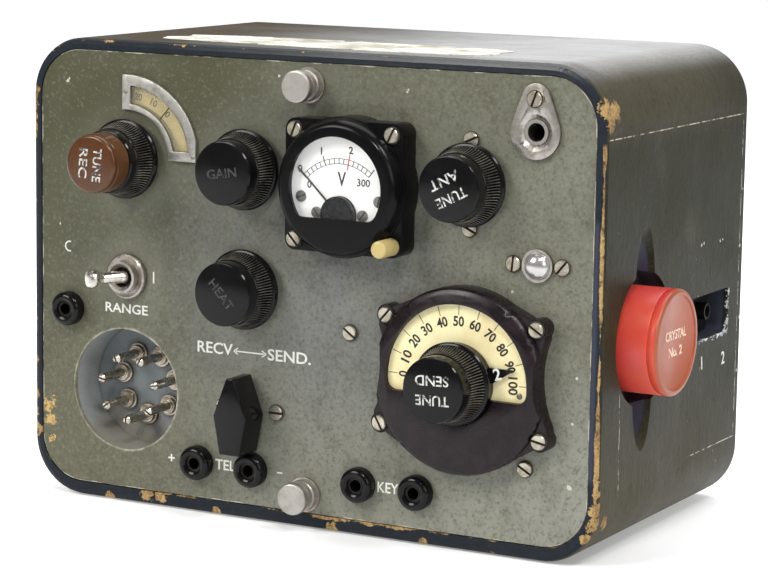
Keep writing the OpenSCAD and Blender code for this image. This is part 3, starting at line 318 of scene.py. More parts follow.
def worn_edges(f, depth):
    """Bare wood along the case's edges: broad and thin in front, long on the top, thin behind."""
    x, y, z = f.axes()
    out = f.outline(CASE_LOW, CASE_HIGH, CASE_CORNER)
    edge = f.reach(out, depth)
    broad = (edge - f.noise(75, 5, 0.7).fade(0.5, 0.74, -0.4, 1.5)).below(0.3, 0.5)
    broad = broad * f.noise(38, 3, 0.6, offset=(0.3, 0.1, 0.2)).fade(0.42, 0.5)
    thin = (edge - f.noise(120, 4, 0.7, offset=(1, 4, 2)).fade(0.42, 0.62, -0.3, 0.35)).below(0.12, 0.3)
    long = (edge - f.noise(50, 6, 0.75, (0.35, 1, 1), (6, 2, 3)).fade(0.45, 0.6, -0.5, 0.6)).below(0.2, 0.4)
    long = long * z.fade(CASE_HIGH.z - 3, CASE_HIGH.z - 1) * x.below(25, 60)
    rear = f.reach(out, CASE_BACK - y).below(0.9, 1.5) * f.noise(60, 5, 0.7).fade(0.5, 0.56)
    return f.most(broad, thin, long, rear)


def bare_strips(f, depth):
    """Bare wood down the right front edge, and low down beside the panel."""
    x, _, z = f.axes()
    fray = f.noise(70, 6, 0.75, (1, 1, 0.4)).fade(0.3, 0.7, -0.2, 1.1)
    upright = (SIDE_X - x + fray).below(1.5, 1.75) * (depth + fray).below(1.3, 1.45)
    upright = upright * z.fade(14, 17) * z.below(136, 138)
    inner = f.outline(PANEL_LOW, PANEL_HIGH, PANEL_CORNER)
    wander = f.noise(95, 6, 0.75, (0.45, 1, 1), (3, 2, 5)).fade(0.46, 0.68, -0.2, 1.4)
    inner = (inner - wander).below(0.1, 0.3) * z.below(12, 20) * depth.below(*RIM)
    return f.most(upright, inner)


def side_marks(f, depth, grain, cloud):
    """Pale broken lines along the right board's seams and a crack, and pale dots."""
    x, _, z = f.axes()

    def thin(distance):
        return abs(distance).below(0.1, 0.24)

    lines = [thin(z - height) * depth.fade(start, start + 2) * depth.below(117.5, 117.9)
             for height, start in ((138.6, 1), (23.4, 74))]
    lines.append(thin(depth - 117.2) * z.fade(23, 24) * z.below(138.4, 138.9))
    lines.append(thin(depth - cloud.fade(0.3, 0.7, 15.6, 17)) * z.fade(20, 24) * z.below(52, 57))
    broken = f.most(*lines) * x.fade(100, 104) * f.noise(260, 4, 0.7).fade(0.42, 0.56)
    dots = [f.ball((SIDE_X, CASE_LOW.y + behind, height), 0.55, 0.4, grain) for behind, height in SIDE_DOTS]
    return f.most(broken, *dots)


def slot_scuffs(f, sunk):
    """Pale scuffs along the lower edge and the rear end of the antenna slot."""
    _, y, z = f.axes()
    low, high = box("crystal_holder")
    hole_y, hole_z = (low.y + high.y) / 2, (low.z + high.z) / 2
    rear_y = CASE_LOW.y + SLOT_END
    flaw = f.noise(330, 5, 0.75, offset=(7, 2, 4)).fade(0.42, 0.62, -0.3, 1.3)
    sill = (abs(z - (hole_z - SLOT_HALF)) - flaw).below(0.0, 0.25)
    sill = sill * y.fade(hole_y + 18, hole_y + 20) * y.below(rear_y - 1, rear_y + 0.4)
    end = (abs(y - rear_y) - flaw * 0.7).below(0.0, 0.25)
    end = end * abs(z - hole_z).below(SLOT_HALF - 1.5, SLOT_HALF)
    return f.most(sill, end) * (sunk - flaw * 0.9).below(0.1, 0.5)


def case_paint():
    """Matt olive paint on plywood, blue-black on the rim and in the cut-outs, chipped to bare wood."""
    c = colours()
    f = Finish("case_paint")
    x, y, z = f.axes()
    depth, sunk = y - CASE_LOW.y, SIDE_X - x
    grain = f.noise(420, 6, 0.7)
    fine = f.noise(1500, 3, 0.6)
    cloud = f.noise(24, 4, 0.6)
    veins = f.noise(26, 4, 0.65, (60, 60, 2.2))
    chips = [f.ball((cx, CASE_LOW.y + behind, cz), r, 0.55 * r, grain) for cx, behind, cz, r in CASE_CHIPS]
    specks = f.noise(330, 2, 0.5, offset=(2, 1, 3)).fade(0.765, 0.785)
    bare = f.most(worn_edges(f, depth), bare_strips(f, depth), *chips, specks)
    on_top = z.fade(CASE_HIGH.z - 7, CASE_HIGH.z - 0.1)
    front_band = on_top * depth.below(8, 17)
    cut = sunk.fade(1.2, 2.4) * x.fade(98, 101.5) * abs(z - 70.5).below(40, 44) * depth.below(112, 114)

    smoke = f.noise(46, 6, 0.72, (1, 1, 0.6), (2, 7, 1))
    olive = f.mix(cloud.fade(0.3, 0.7), c.case, (0.030, 0.029, 0.0152))
    olive = f.mix(smoke.fade(0.5, 0.74, 0.0, 0.6), olive, (0.080, 0.071, 0.042))
    # Painted light and shade: the paint is drawn lighter towards the bottom, lighter high on the right side below
    # the top corner, and darker towards the rear.
    olive = f.mix(z.fade(62, 10, 0.0, 0.75), olive, (0.088, 0.078, 0.047))
    olive = f.mix(z.fade(132, 147, 0.0, 0.62) * x.fade(86, 98), olive, (0.098, 0.084, 0.055))
    olive = f.mix(depth.fade(70, 118, 0.0, 0.5), olive, (0.020, 0.020, 0.012))
    olive = f.mix(on_top * x.fade(10, -90, 0.0, 0.72), olive, (0.078, 0.050, 0.026))
    olive = f.mix(veins.fade(0.35, 0.75, 0.0, 0.5), olive, (0.014, 0.0145, 0.008))
    olive = f.mix(fine.fade(0.5, 0.75, 0.0, 0.5), olive, (0.074, 0.069, 0.042))
    olive = f.mix(grain.fade(0.54, 0.7, 0.0, 0.6), olive, (0.010, 0.010, 0.006))
    olive = f.mix(front_band * 0.8, olive, (0.020, 0.017, 0.012))
    dark = f.mix(grain.fade(0.4, 0.75, 0.0, 0.5), c.rim, (0.024, 0.030, 0.040))
    dark = f.mix(cut, dark, (0.040, 0.045, 0.066))
    timber = f.mix(f.noise(60, 4, 0.6, (9, 1.5, 1.5)).fade(0.3, 0.7), c.wood, (0.17, 0.095, 0.040))
    timber = f.mix(fine.fade(0.45, 0.7, 0.0, 0.5), timber, (0.58, 0.46, 0.26))
    timber = f.mix(grain.fade(0.52, 0.66, 0.0, 0.85), timber, (0.05, 0.034, 0.02))
    shown = f.mix(bare, f.mix(f.most(depth.below(*RIM), cut), olive, dark), timber)
    shown = f.mix(slot_scuffs(f, sunk), shown, (0.62, 0.65, 0.68))
    f.set(Base_Color=f.mix(side_marks(f, depth, grain, cloud), shown, (0.58, 0.54, 0.42)))

    dull = cloud.fade(0.3, 0.75, 0.40, 0.56) - on_top * x.fade(-80, 60, -0.12, 0.28)
    gleam = on_top * x.fade(-80, 70, -0.08, 0.8) * (1.0 - front_band * 0.9)
    f.set(Roughness=(dull + bare * 0.3).clamped(), Specular_IOR_Level=gleam + 0.12)
    f.set(Coat_Weight=(gleam * 0.7).clamped(), Coat_Roughness=0.22)
    pebbles = f.noise(230, 4, 0.6, offset=(5, 3, 1))
    return f.bump(veins * 0.3 + (grain + pebbles) * 0.5 - bare * 0.9, 0.4, 0.75)


def panel_enamel():
    """Olive-grey enamel, mottled and pitted, rubbed bright along the panel's edge."""
    f = Finish("panel_enamel")
    x, _, z = f.axes()
    cloud = f.noise(22, 5, 0.62)
    grain = f.noise(820, 4, 0.65)
    coarse = f.noise(300, 4, 0.7)
    spots = f.noise(330, 3, 0.6, offset=(4, 2, 1))
    smoke = f.noise(34, 6, 0.7, (1, 1, 0.7), (1, 5, 2))
    blotches = f.noise(150, 6, 0.75, offset=(3, 1, 7))

    def at(px, pz):
        return px, PANEL_Y, pz

    out = f.outline(PANEL_LOW, PANEL_HIGH, PANEL_CORNER)
    rubbed = (out + f.noise(110, 5, 0.7).fade(0.35, 0.7, 0.55, -0.15)).fade(0.12, 0.3)
    mouth = f.ball(at(*middle_of("connector_cup")), 22.3, 0.5, f.noise(160, 4, 0.7))
    metal = f.most(rubbed, mouth * spots.fade(0.3, 0.42))
    halo = f.most(*[f.away(at(*axis_of(joint))).below(r - 3, r + 11) for joint, r in HALOS.items()])
    chipped = f.most(f.ball(at(PANEL_LOW.x + 2.6, 31), 2.7, 2.2, coarse),
                     f.ball(at(PANEL_LOW.x + 3.2, 26), 2.1, 1.8, coarse),
                     f.ball(at(PANEL_LOW.x + 3.8, 19), 1.3, 1.0, grain))
    flakes = f.most(*[f.ball(at(px, pz), r, 0.5 * r, grain) for px, pz, r in PANEL_FLAKES])

    # Painted light and shade: the enamel is drawn darker and more olive to the upper left and paler and greyer to
    # the lower right.
    painted_falloff = (CASE_HIGH.z - z) * (0.5 / CASE_HIGH.z) + (x + SIDE_X) * (0.25 / SIDE_X)
    painted_falloff = f.value("ShaderNodeMapRange", {"Value": painted_falloff, "From Min": 0.15, "From Max": 0.95})
    base = f.mix(painted_falloff, colours().panel, (0.252, 0.257, 0.218))
    base = f.mix(f.away(at(-98, 14)).fade(15, 85, 0.6, 0.0), base, (0.076, 0.069, 0.030))
    base = f.mix(f.away(at(104, 84)).fade(8, 55, 0.3, 0.0), base, (0.075, 0.072, 0.046))
    base = f.mix(cloud.fade(0.3, 0.72, 0.0, 0.2), base, (0.235, 0.240, 0.190))
    blue = f.away(at(2, 84)).fade(15, 75, 0.75, 0.0) * smoke.fade(0.35, 0.6, 0.35, 1.0)
    base = f.mix(blue, base, (0.172, 0.178, 0.188))
    base = f.mix(smoke.fade(0.46, 0.74, 0.0, 0.6), base, (0.070, 0.070, 0.044))
    base = f.mix(blotches.fade(0.5, 0.74, 0.0, 0.6), base, (0.075, 0.071, 0.043))
    base = f.mix(halo * grain.fade(0.3, 0.7, 0.1, 0.34), base, (0.22, 0.225, 0.18))
    base = f.mix(grain.fade(0.48, 0.7, 0.0, 0.6), base, (0.068, 0.068, 0.044))
    base = f.mix(grain.fade(0.48, 0.3, 0.0, 0.3), base, (0.25, 0.255, 0.21))
    base = f.mix(spots.fade(0.69, 0.76, 0.0, 0.6), base, (0.045, 0.04, 0.026))
    base = f.mix(chipped, base, f.mix(grain.fade(0.45, 0.62), (0.50, 0.35, 0.13), (0.16, 0.095, 0.04)))
    base = f.mix(flakes, base, (0.52, 0.50, 0.42))
    f.set(Base_Color=f.mix(metal, base, (0.56, 0.53, 0.44)), Metallic=metal * 0.5)
    f.set(Roughness=cloud.fade(0.25, 0.75, 0.40, 0.56), Specular_IOR_Level=0.32)
    return f.bump(grain * 0.5 - (spots.fade(0.7, 0.78, 0.0, 0.5) + chipped), 0.14, 0.45)


def moulding(name, base, dust, gloss, haze=0.35, shine=0.42):
    """Moulded plastic with a soft mottle, dust in the pores and rubbed spots."""
    f = Finish(name)
    mottle = f.noise(160, 5, 0.65)
    pores = f.noise(1400, 3, 0.6)
    tone = f.mix(mottle.fade(0.35, 0.75, 0.0, haze), base, dust)
    tone = f.mix(pores.fade(0.60, 0.78, 0.0, haze), tone, dust)
    f.set(Base_Color=tone, Roughness=mottle.fade(0.3, 0.75, gloss, gloss + 0.14), Specular_IOR_Level=shine)
    return f.bump(mottle * 0.12 + pores, 0.03, 0.18)


def ribbed_moulding(control, base_y):
    """Black moulding of a knob whose ribs are painted pale along their crests: partly rubbed wear, partly a
    painted highlight standing in for the glints on the ribs.
    """
    f = Finish(control + "_knob_moulding")
    x, y, z = f.axes()
    mottle = f.noise(160, 5, 0.65)
    axis_x, axis_z = axis_of(control + "_turn")
    up = base_y - y
    (wide, low), (slim, high) = FLARE[0], FLARE[-1]
    left = (high - up) * (1 / (high - low))
    crest = left * left * (wide - slim) + slim
    # Rubbed wear and painted highlight: the rib crests are drawn pale, standing in partly for glints of light on
    # the ribs.
    crest_wear_and_glint = (f.reach(x - axis_x, z - axis_z) - crest).fade(-0.24, -0.03)
    crest_wear_and_glint = crest_wear_and_glint * up.fade(low - 0.1, low) * up.below(high, high + 0.1)
    crest_wear_and_glint = crest_wear_and_glint * f.noise(130, 4, 0.65).fade(0.35, 0.62, 0.3, 1.0)
    black = f.mix(mottle.fade(0.35, 0.75, 0.0, 0.25), colours().moulding, (0.012, 0.010, 0.010))
    f.set(Base_Color=f.mix(crest_wear_and_glint, black, (0.17, 0.16, 0.135)), Specular_IOR_Level=0.22)
    f.set(Roughness=mottle.fade(0.3, 0.75, 0.1, 0.22) + crest_wear_and_glint * 0.2)
    return f.bump(f.noise(420, 4, 0.65), 0.02, 0.12)


def plated(name, base, tarnish, gloss, brushed=(1, 1, 1)):
    """Plated or bare metal with tarnish spots and fine scratches."""
    f = Finish(name)
    spots = f.noise(210, 5, 0.68)
    lines = f.noise(700, 3, 0.7, brushed)
    f.set(Base_Color=f.mix(spots.fade(0.42, 0.74, 0.0, 0.8), base, tarnish), Metallic=1.0)
    f.set(Roughness=spots.fade(0.3, 0.75, gloss, gloss + 0.22) + lines.fade(0.4, 0.7, 0.0, 0.1))
    return f.bump(lines + spots, 0.04, 0.3)


def slotted_metal():
    """Old yellowish screw heads with dirt and painted shade in their slots and round their edges."""
    f = Finish("slotted_metal")
    _, y, _ = f.axes()
    spots = f.noise(300, 5, 0.68)
    up = PANEL_Y - y
    # Dirt and painted shade: darker down in the slots and round the heads' edges, where shade falls.
    slot_dirt_and_shade = f.most(*[up.fade(top - 0.95, top - 0.85) * up.below(top - 0.5, top - 0.25) for top in HEADS])
    tone = f.mix(spots.fade(0.38, 0.72, 0.0, 0.85), (0.56, 0.52, 0.43), (0.24, 0.20, 0.13))
    f.set(Base_Color=f.mix(slot_dirt_and_shade, tone, (0.018, 0.015, 0.011)), Metallic=1.0 - slot_dirt_and_shade)
    f.set(Roughness=spots.fade(0.3, 0.75, 0.26, 0.46) + slot_dirt_and_shade * 0.4)
    return f.bump(spots, 0.04, 0.3)


def aged_sheet(name, base, stain, amount, glow=0.0):
    """A scale or card with yellow stains and dark specks; glow is painted light, an emission that lifts a deep
    dial out of its shade.
    """
    f = Finish(name)
    cloud = f.noise(90, 5, 0.65)
    specks = f.noise(900, 3, 0.6)
    dark = (stain[0] * 0.6, stain[1] * 0.55, stain[2] * 0.5)
    tone = f.mix(cloud.fade(0.35, 0.75, 0.0, amount), base, stain)
    tone = f.mix(specks.fade(0.66, 0.76, 0.0, amount), tone, dark)
    f.set(Base_Color=tone, Roughness=cloud.fade(0.3, 0.7, 0.42, 0.6))
    f.set(Emission_Color=tone, Emission_Strength=glow)
    return f.bump(specks, 0.03, 0.25)


def meter_works():
    """Meter works under a glassy dome: grey with dark and rusty patches and a dark outline."""
    f = Finish("meter_works")
    x, _, z = f.axes()
    axis_x, axis_z = axis_of("needle_swing")
    core = round_size("meter_movement")[1]
    rise = z - axis_z
    patches = f.noise(360, 4, 0.6, offset=(0, 0, 1))
    base = f.mix(patches.fade(0.44, 0.56), (0.66, 0.68, 0.74), (0.05, 0.05, 0.06))
    rust = f.noise(420, 3, 0.6, offset=(3, 1, 2)).fade(0.52, 0.6) * rise.fade(1.5, 3.5, 0.8, 0.0)
    base = f.mix(rust, base, (0.62, 0.20, 0.12))
    base = f.mix(f.reach(x - axis_x, rise).fade(core - 1.4, core - 0.8), base, (0.012, 0.011, 0.013))
    f.set(Base_Color=base, Roughness=patches.fade(0.3, 0.7, 0.06, 0.2), Specular_IOR_Level=0.6)
    return f.bump(patches, 0.1, 0.3)


def crystal_red():
    """Glossy red moulding with a browner, flatter face."""
    f = Finish("crystal_red")
    x, _, _ = f.axes()
    cloud = f.noise(55, 4, 0.6)
    fine = f.noise(800, 3, 0.6)
    face = box("crystal_holder")[1].x
    body = f.mix(cloud.fade(0.3, 0.75), colours().crystal, (0.66, 0.075, 0.028))
    body = f.mix(x.fade(face - 1.2, face - 0.6), body, (0.355, 0.088, 0.036))
    body = f.mix(fine.fade(0.62, 0.8, 0.0, 0.25), body, (0.75, 0.28, 0.2))
    f.set(Base_Color=body, Roughness=cloud.fade(0.3, 0.7, 0.26, 0.42), Specular_IOR_Level=0.5)
    f.set(Subsurface_Weight=0.06, Subsurface_Radius=(2.0 * MM, 0.4 * MM, 0.3 * MM))
    return f.bump(cloud + fine * 0.3, 0.08, 0.3)


def clear_sheet(name, tint, cover):
    """Clear glass or celluloid: a thin sheet that keeps its gloss."""
    f = Finish(name)
    smear = f.noise(60, 4, 0.6)
    f.set(Base_Color=tint, Roughness=smear.fade(0.35, 0.75, 0.03, 0.1), Alpha=cover, Specular_IOR_Level=0.8)
    f.material.surface_render_method = "BLENDED"
    return f.bump(smear, 0.02, 0.1)


def worn_ink(name, ink, under, low, high):
    """Printed or painted marks, rubbed through in places."""
    f = Finish(name)
    rub = f.noise(520, 4, 0.7)
    f.set(Base_Color=f.mix(rub.fade(low, high), ink, under), Roughness=rub.fade(0.3, 0.7, 0.4, 0.62))
    return f.bump(rub, 0.02, 0.3)


def pearl_lens():
    """Polished pearly dome, half mirror and half milk."""
    f = Finish("pearl_lens")
    cloud = f.noise(180, 4, 0.6)
    f.set(Base_Color=f.mix(cloud.fade(0.3, 0.75), (0.60, 0.585, 0.575), (0.46, 0.445, 0.435)))
    f.set(Metallic=0.75, Roughness=cloud.fade(0.3, 0.7, 0.16, 0.28))
    return f.bump(cloud, 0.03, 0.2)


def cup_paint():
    """Grey-blue paint inside the connector, with painted shade on the floor, grime and painted shade round the
    bushes, and stained brown low down.
    """
    f = Finish("cup_paint")
    _, y, z = f.axes()
    cloud = f.noise(70, 5, 0.65)
    grain = f.noise(700, 3, 0.6)
    # Grime and painted shade round the foot of each bush, where shade falls on the floor.
    pin_foot_grime_and_shade = f.most(*[f.away((px, CUP_FLOOR, pz)).below(3.4, 6.4) for px, pz in mount_places("power_pin")])
    low = (z + cloud.fade(0.3, 0.7, -5, 5)).below(22, 31)
    base = f.mix(cloud.fade(0.3, 0.75), (0.255, 0.275, 0.28), (0.345, 0.365, 0.365))
    # Painted shade: the floor deep in the cup is drawn darker than the walls.
    floor = f.mix(cloud.fade(0.3, 0.75), (0.150, 0.172, 0.188), (0.215, 0.238, 0.248))
    base = f.mix(y.fade(CUP_FLOOR - 2.5, CUP_FLOOR - 0.3), base, floor)
    base = f.mix(pin_foot_grime_and_shade * cloud.fade(0.3, 0.7, 0.45, 0.9), base, (0.060, 0.060, 0.058))
    base = f.mix(low * 0.5, base, (0.26, 0.215, 0.15))
    base = f.mix(grain.fade(0.62, 0.76, 0.0, 0.6), base, (0.05, 0.052, 0.05))
    f.set(Base_Color=base, Roughness=cloud.fade(0.3, 0.7, 0.38, 0.58))
    return f.bump(grain, 0.06, 0.4)


def torn_paper():
    """Off-white paper with fibres, scuffed towards grey."""
    f = Finish("torn_paper")
    cloud = f.noise(60, 5, 0.7)
    fibres = f.noise(500, 4, 0.7, (0.35, 1, 1))
    streaks = f.noise(260, 5, 0.75, (0.3, 1.6, 1), (3, 1, 2))
    base = f.mix(cloud.fade(0.40, 0.64), (0.84, 0.82, 0.75), (0.44, 0.41, 0.33))
    base = f.mix(streaks.fade(0.55, 0.64, 0.0, 0.85), base, (0.13, 0.112, 0.078))
    base = f.mix(fibres.fade(0.56, 0.70, 0.0, 0.8), base, (0.16, 0.14, 0.10))
    f.set(Base_Color=base, Roughness=fibres.fade(0.3, 0.7, 0.75, 0.95))
    return f.bump(fibres, 0.06, 0.6)


def pale_floor():
    """Pale floor that glows behind the set as painted light, and is painted darker a long way to its sides and in
    front, out of the picture.
    """
    f = Finish("pale_floor")
    cloud = f.noise(1.6, 3, 0.5)
    x, y, _ = f.axes()
    behind = x * -0.48 + y * 0.88
    across = abs(x * 0.88 + y * 0.48)
    pale = f.mix(cloud.fade(0.3, 0.7), (0.88, 0.89, 0.91), (0.86, 0.875, 0.90))
    # Painted shade: the floor is drawn darker a long way in front and to the sides.
    far = f.most(behind.fade(-360, -720), across.fade(600, 1300))
    f.set(Base_Color=f.mix(far, pale, (0.42, 0.42, 0.43)), Roughness=0.6)
    # Painted light: the floor glows behind the set, though it is no lamp.
    painted_glow = behind.fade(-350, 350, 0.06, 0.66) * across.fade(650, 1100, 1.0, 0.5)
    f.set(Emission_Color=(1, 1, 1), Emission_Strength=painted_glow)
    return f.bump(cloud, 0.2, 0.05)


FINISHES = {}


def make_finishes():
    c = colours()
    soot = (0.012, 0.010, 0.010)
    FINISHES.update({
        "case": case_paint(),
        "panel": panel_enamel(),
        "black": moulding("black_moulding", c.moulding, soot, 0.1, 0.2, 0.22),
        "brown_black": moulding("brown_black_moulding", (0.0072, 0.0040, 0.0056), (0.030, 0.017, 0.021), 0.22,
                                0.45, 0.28),
        "brown": moulding("brown_moulding", (0.075, 0.026, 0.008), (0.13, 0.056, 0.018), 0.12),
        "insulator": moulding("insulator_moulding", (0.010, 0.010, 0.013), (0.035, 0.033, 0.035), 0.3),
        "button": moulding("button_moulding", (0.52, 0.42, 0.175), (0.38, 0.285, 0.10), 0.3),
        "nickel": plated("dull_nickel", (0.455, 0.425, 0.395), (0.22, 0.195, 0.15), 0.24),
        "bright": plated("bright_nickel", (0.66, 0.63, 0.58), (0.36, 0.33, 0.27), 0.14),
        "slotted": slotted_metal(),
        "satin": plated("satin_nickel", (0.46, 0.435, 0.405), (0.35, 0.325, 0.29), 0.36),
        "pin": plated("pin_plating", (0.60, 0.55, 0.47), (0.27, 0.215, 0.14), 0.17),
        "bush": plated("bush_plating", (0.41, 0.365, 0.305), (0.12, 0.095, 0.062), 0.2),
        "dark_steel": plated("dark_steel", (0.28, 0.27, 0.25), (0.12, 0.11, 0.1), 0.32),
        "aluminium": plated("brushed_aluminium", (0.46, 0.45, 0.42), (0.22, 0.21, 0.18), 0.36, (0.2, 1, 3)),
        "cup": cup_paint(),
        "scale": aged_sheet("yellowed_scale", c.scale, (0.62, 0.44, 0.18), 0.5),
        "old_scale": aged_sheet("brown_scale", (0.62, 0.50, 0.21), (0.40, 0.28, 0.09), 0.6),
        # The dial card glows a little: painted light that lifts it out of the shade of its deep case.
        "card": aged_sheet("white_card", (0.95, 0.95, 0.94), (0.72, 0.70, 0.62), 0.25, 0.15),
        "lamp": pearl_lens(),
        "dark_brass": plated("dark_brass", (0.035, 0.032, 0.03), (0.012, 0.011, 0.01), 0.4),
        "works": meter_works(),
        "meter": moulding("meter_moulding", c.moulding, soot, 0.12, 0.2, 0.12),
        "crystal": crystal_red(),
        "glass": clear_sheet("meter_pane", (0.30, 0.31, 0.32), 0.05),
        "celluloid": clear_sheet("window_celluloid", (0.86, 0.80, 0.60), 0.12),
        "valve": clear_sheet("valve_envelope", (0.7, 0.72, 0.7), 0.5),
        "timber": aged_sheet("plain_timber", (0.45, 0.29, 0.13), (0.3, 0.17, 0.07), 0.6),
        "white": worn_ink("white_paint", c.letters, (0.26, 0.27, 0.21), 0.58, 0.68),
        "knob_white": worn_ink("rubbed_white", (0.60, 0.60, 0.58), (0.03, 0.03, 0.03), 0.46, 0.60),
        "faint_white": worn_ink("faint_white", (0.05, 0.05, 0.05), (0.010, 0.010, 0.011), 0.36, 0.62),
        "cream_mark": worn_ink("cream_mark", (0.85, 0.70, 0.55), (0.60, 0.22, 0.14), 0.5, 0.66),
        "ink": worn_ink("black_ink", (0.016, 0.015, 0.014), (0.09, 0.08, 0.06), 0.55, 0.72),
        "red_ink": worn_ink("red_ink", (0.55, 0.02, 0.02), (0.6, 0.2, 0.18), 0.6, 0.75),
        "paper": torn_paper(),
        "floor": pale_floor(),
    })


# Modelling helpers


def rest():
    if bpy.context.mode != "OBJECT":
        bpy.ops.object.mode_set(mode="OBJECT")
    bpy.ops.object.select_all(action="DESELECT")


def pick(obj):
    """Makes a piece the only selected one, in object mode."""
    rest()
    obj.select_set(True)
    bpy.context.view_layer.objects.active = obj


def edit(obj):
    pick(obj)
    bpy.ops.object.mode_set(mode="EDIT")
    bpy.ops.mesh.select_mode(type="VERT")


def smooth(obj, degrees=32):
    pick(obj)
    bpy.ops.object.shade_smooth_by_angle(angle=math.radians(degrees))
    return obj


def copied(obj, name):
    pick(obj)
    bpy.ops.object.duplicate()
    made = bpy.context.object
    made.name = made.data.name = name
    return made


def joined(name, parts):
    rest()
    for part in parts:
        part.select_set(True)
    bpy.context.view_layer.objects.active = parts[0]
    if len(parts) > 1:
        bpy.ops.object.join()
    parts[0].name = parts[0].data.name = name
    return parts[0]


def drawn_line(name, points):
    """A wire along points (x, y, z), left in edit mode with its end selected."""
    rest()
    bpy.ops.mesh.primitive_plane_add(size=MM, location=(0, 0, 0))
    obj = bpy.context.object
    obj.name = obj.data.name = name
    bpy.ops.object.mode_set(mode="EDIT")
    bpy.ops.mesh.select_mode(type="VERT")
    bpy.ops.mesh.select_all(action="SELECT")
    bpy.ops.mesh.merge(type="CENTER")
    bpy.ops.transform.translate(value=Vector(points[0]) * MM)
    for start, end in zip(points, points[1:]):
        step = (Vector(end) - Vector(start)) * MM
        bpy.ops.mesh.extrude_vertices_move(TRANSFORM_OT_translate={"value": step})
    return obj


def close_up(obj):
    """Merges doubles, turns the normals outward and leaves edit mode."""
    bpy.ops.mesh.select_all(action="SELECT")
    bpy.ops.mesh.remove_doubles(threshold=1e-6)
    bpy.ops.mesh.normals_make_consistent(inside=False)
    bpy.ops.object.mode_set(mode="OBJECT")
    return obj


def prism(name, outline, height, thick):
    """A closed prism on an outline of points (x, y), from a height up."""
    obj = drawn_line(name, [(x, y, height) for x, y in outline])
    bpy.ops.mesh.select_all(action="SELECT")
    bpy.ops.mesh.edge_face_add()
    bpy.ops.mesh.extrude_region_move(TRANSFORM_OT_translate={"value": (0, 0, thick * MM)})
    return close_up(obj)


def turned(name, profile, steps, sweep=360.0, start=0.0):
    """A piece turned about +Z from a profile of (radius, height)."""
    c, s = polar(start, 1)
    obj = drawn_line(name, [(r * c, r * s, h) for r, h in profile])
    bpy.ops.mesh.select_all(action="SELECT")
    bpy.ops.mesh.spin(steps=steps, angle=math.radians(-sweep), center=(0, 0, 0), axis=(0, 0, 1))
    return smooth(close_up(obj))


def flute(obj, low, high, steps, depth, reach):
    """Pulls every second line of a turned piece in, between two heights, as ribs."""
    for part in (obj.data.vertices, obj.data.edges, obj.data.polygons):
        part.foreach_set("select", [False] * len(part))
    turn = 2 * math.pi / steps
    for v in obj.data.vertices:
        line = round(math.atan2(v.co.y, v.co.x) / turn)
        v.select = low * MM < v.co.z < high * MM and line % 2 == 1
    edit(obj)
    k = (reach - depth) / reach
    bpy.ops.transform.resize(value=(k, k, 1), center_override=(0, 0, 0))
    bpy.ops.object.mode_set(mode="OBJECT")
    return smooth(obj, 24)


def softened(node, name, width, segments=2):
    """A copy of a CAD node with its sharp edges rounded."""
    obj = copied(frame["nodes"][node], name)
    for key in list(obj.keys()):
        del obj[key]
    obj.parent = None
    obj.matrix_world = Matrix.Identity(4)
    edit(obj)
    bpy.ops.mesh.select_all(action="SELECT")
    bpy.ops.mesh.remove_doubles(threshold=1e-6)
    bpy.ops.mesh.dissolve_limited(angle_limit=math.radians(0.8))
    bpy.ops.object.mode_set(mode="OBJECT")
    bpy.ops.object.modifier_add(type="BEVEL")
    bevel = obj.modifiers[-1]
    bevel.width = width * MM
    bevel.segments = segments
    bevel.limit_method = "ANGLE"
    bevel.angle_limit = math.radians(34)
    bpy.ops.object.modifier_apply(modifier=bevel.name)
    return smooth(obj, 40)


def carved(obj, tool):
    """Takes a tool's volume out of a piece and removes the tool."""
    pick(obj)
    bpy.ops.object.modifier_add(type="BOOLEAN")
    cut = obj.modifiers[-1]
    cut.object = tool
    cut.operation = "DIFFERENCE"
    cut.solver = "EXACT"
    bpy.ops.object.modifier_apply(modifier=cut.name)
    bpy.data.objects.remove(tool)
    return obj


def polar(angle, radius):
    return radius * math.cos(math.radians(angle)), radius * math.sin(math.radians(angle))


def bulge(wide, tall, angles, out=0.0, up=0.0):
    """Points at angles round an ellipse whose middle is (out, up)."""
    return [(out + wide * c, up + tall * s) for c, s in [polar(angle, 1) for angle in angles]]


def at_front(obj, x, y, z, turn=0.0):
    """Puts a piece drawn on XY with its front up +Z on the panel, turned by degrees."""
    obj.data.transform(Matrix.Translation((x * MM, y * MM, z * MM)) @ Matrix.Rotation(math.pi / 2, 4, "X")
                       @ Matrix.Rotation(math.radians(turn), 4, "Z"))
    return obj


def at_side(obj, x, y, z):
    """Puts a piece drawn on XY with its front up +Z on the right side."""
    stand = Matrix(((0, 0, 1, 0), (1, 0, 0, 0), (0, 1, 0, 0), (0, 0, 0, 1)))
    obj.data.transform(Matrix.Translation((x * MM, y * MM, z * MM)) @ stand)
    return obj


def repeated(name, master, y, places):
    """Copies of a piece at places (x, z) on the panel, joined; the first one goes."""
    parts = [at_front(copied(master, name), x, y, z) for x, z in places]
    bpy.data.objects.remove(master)
    return joined(name, parts)


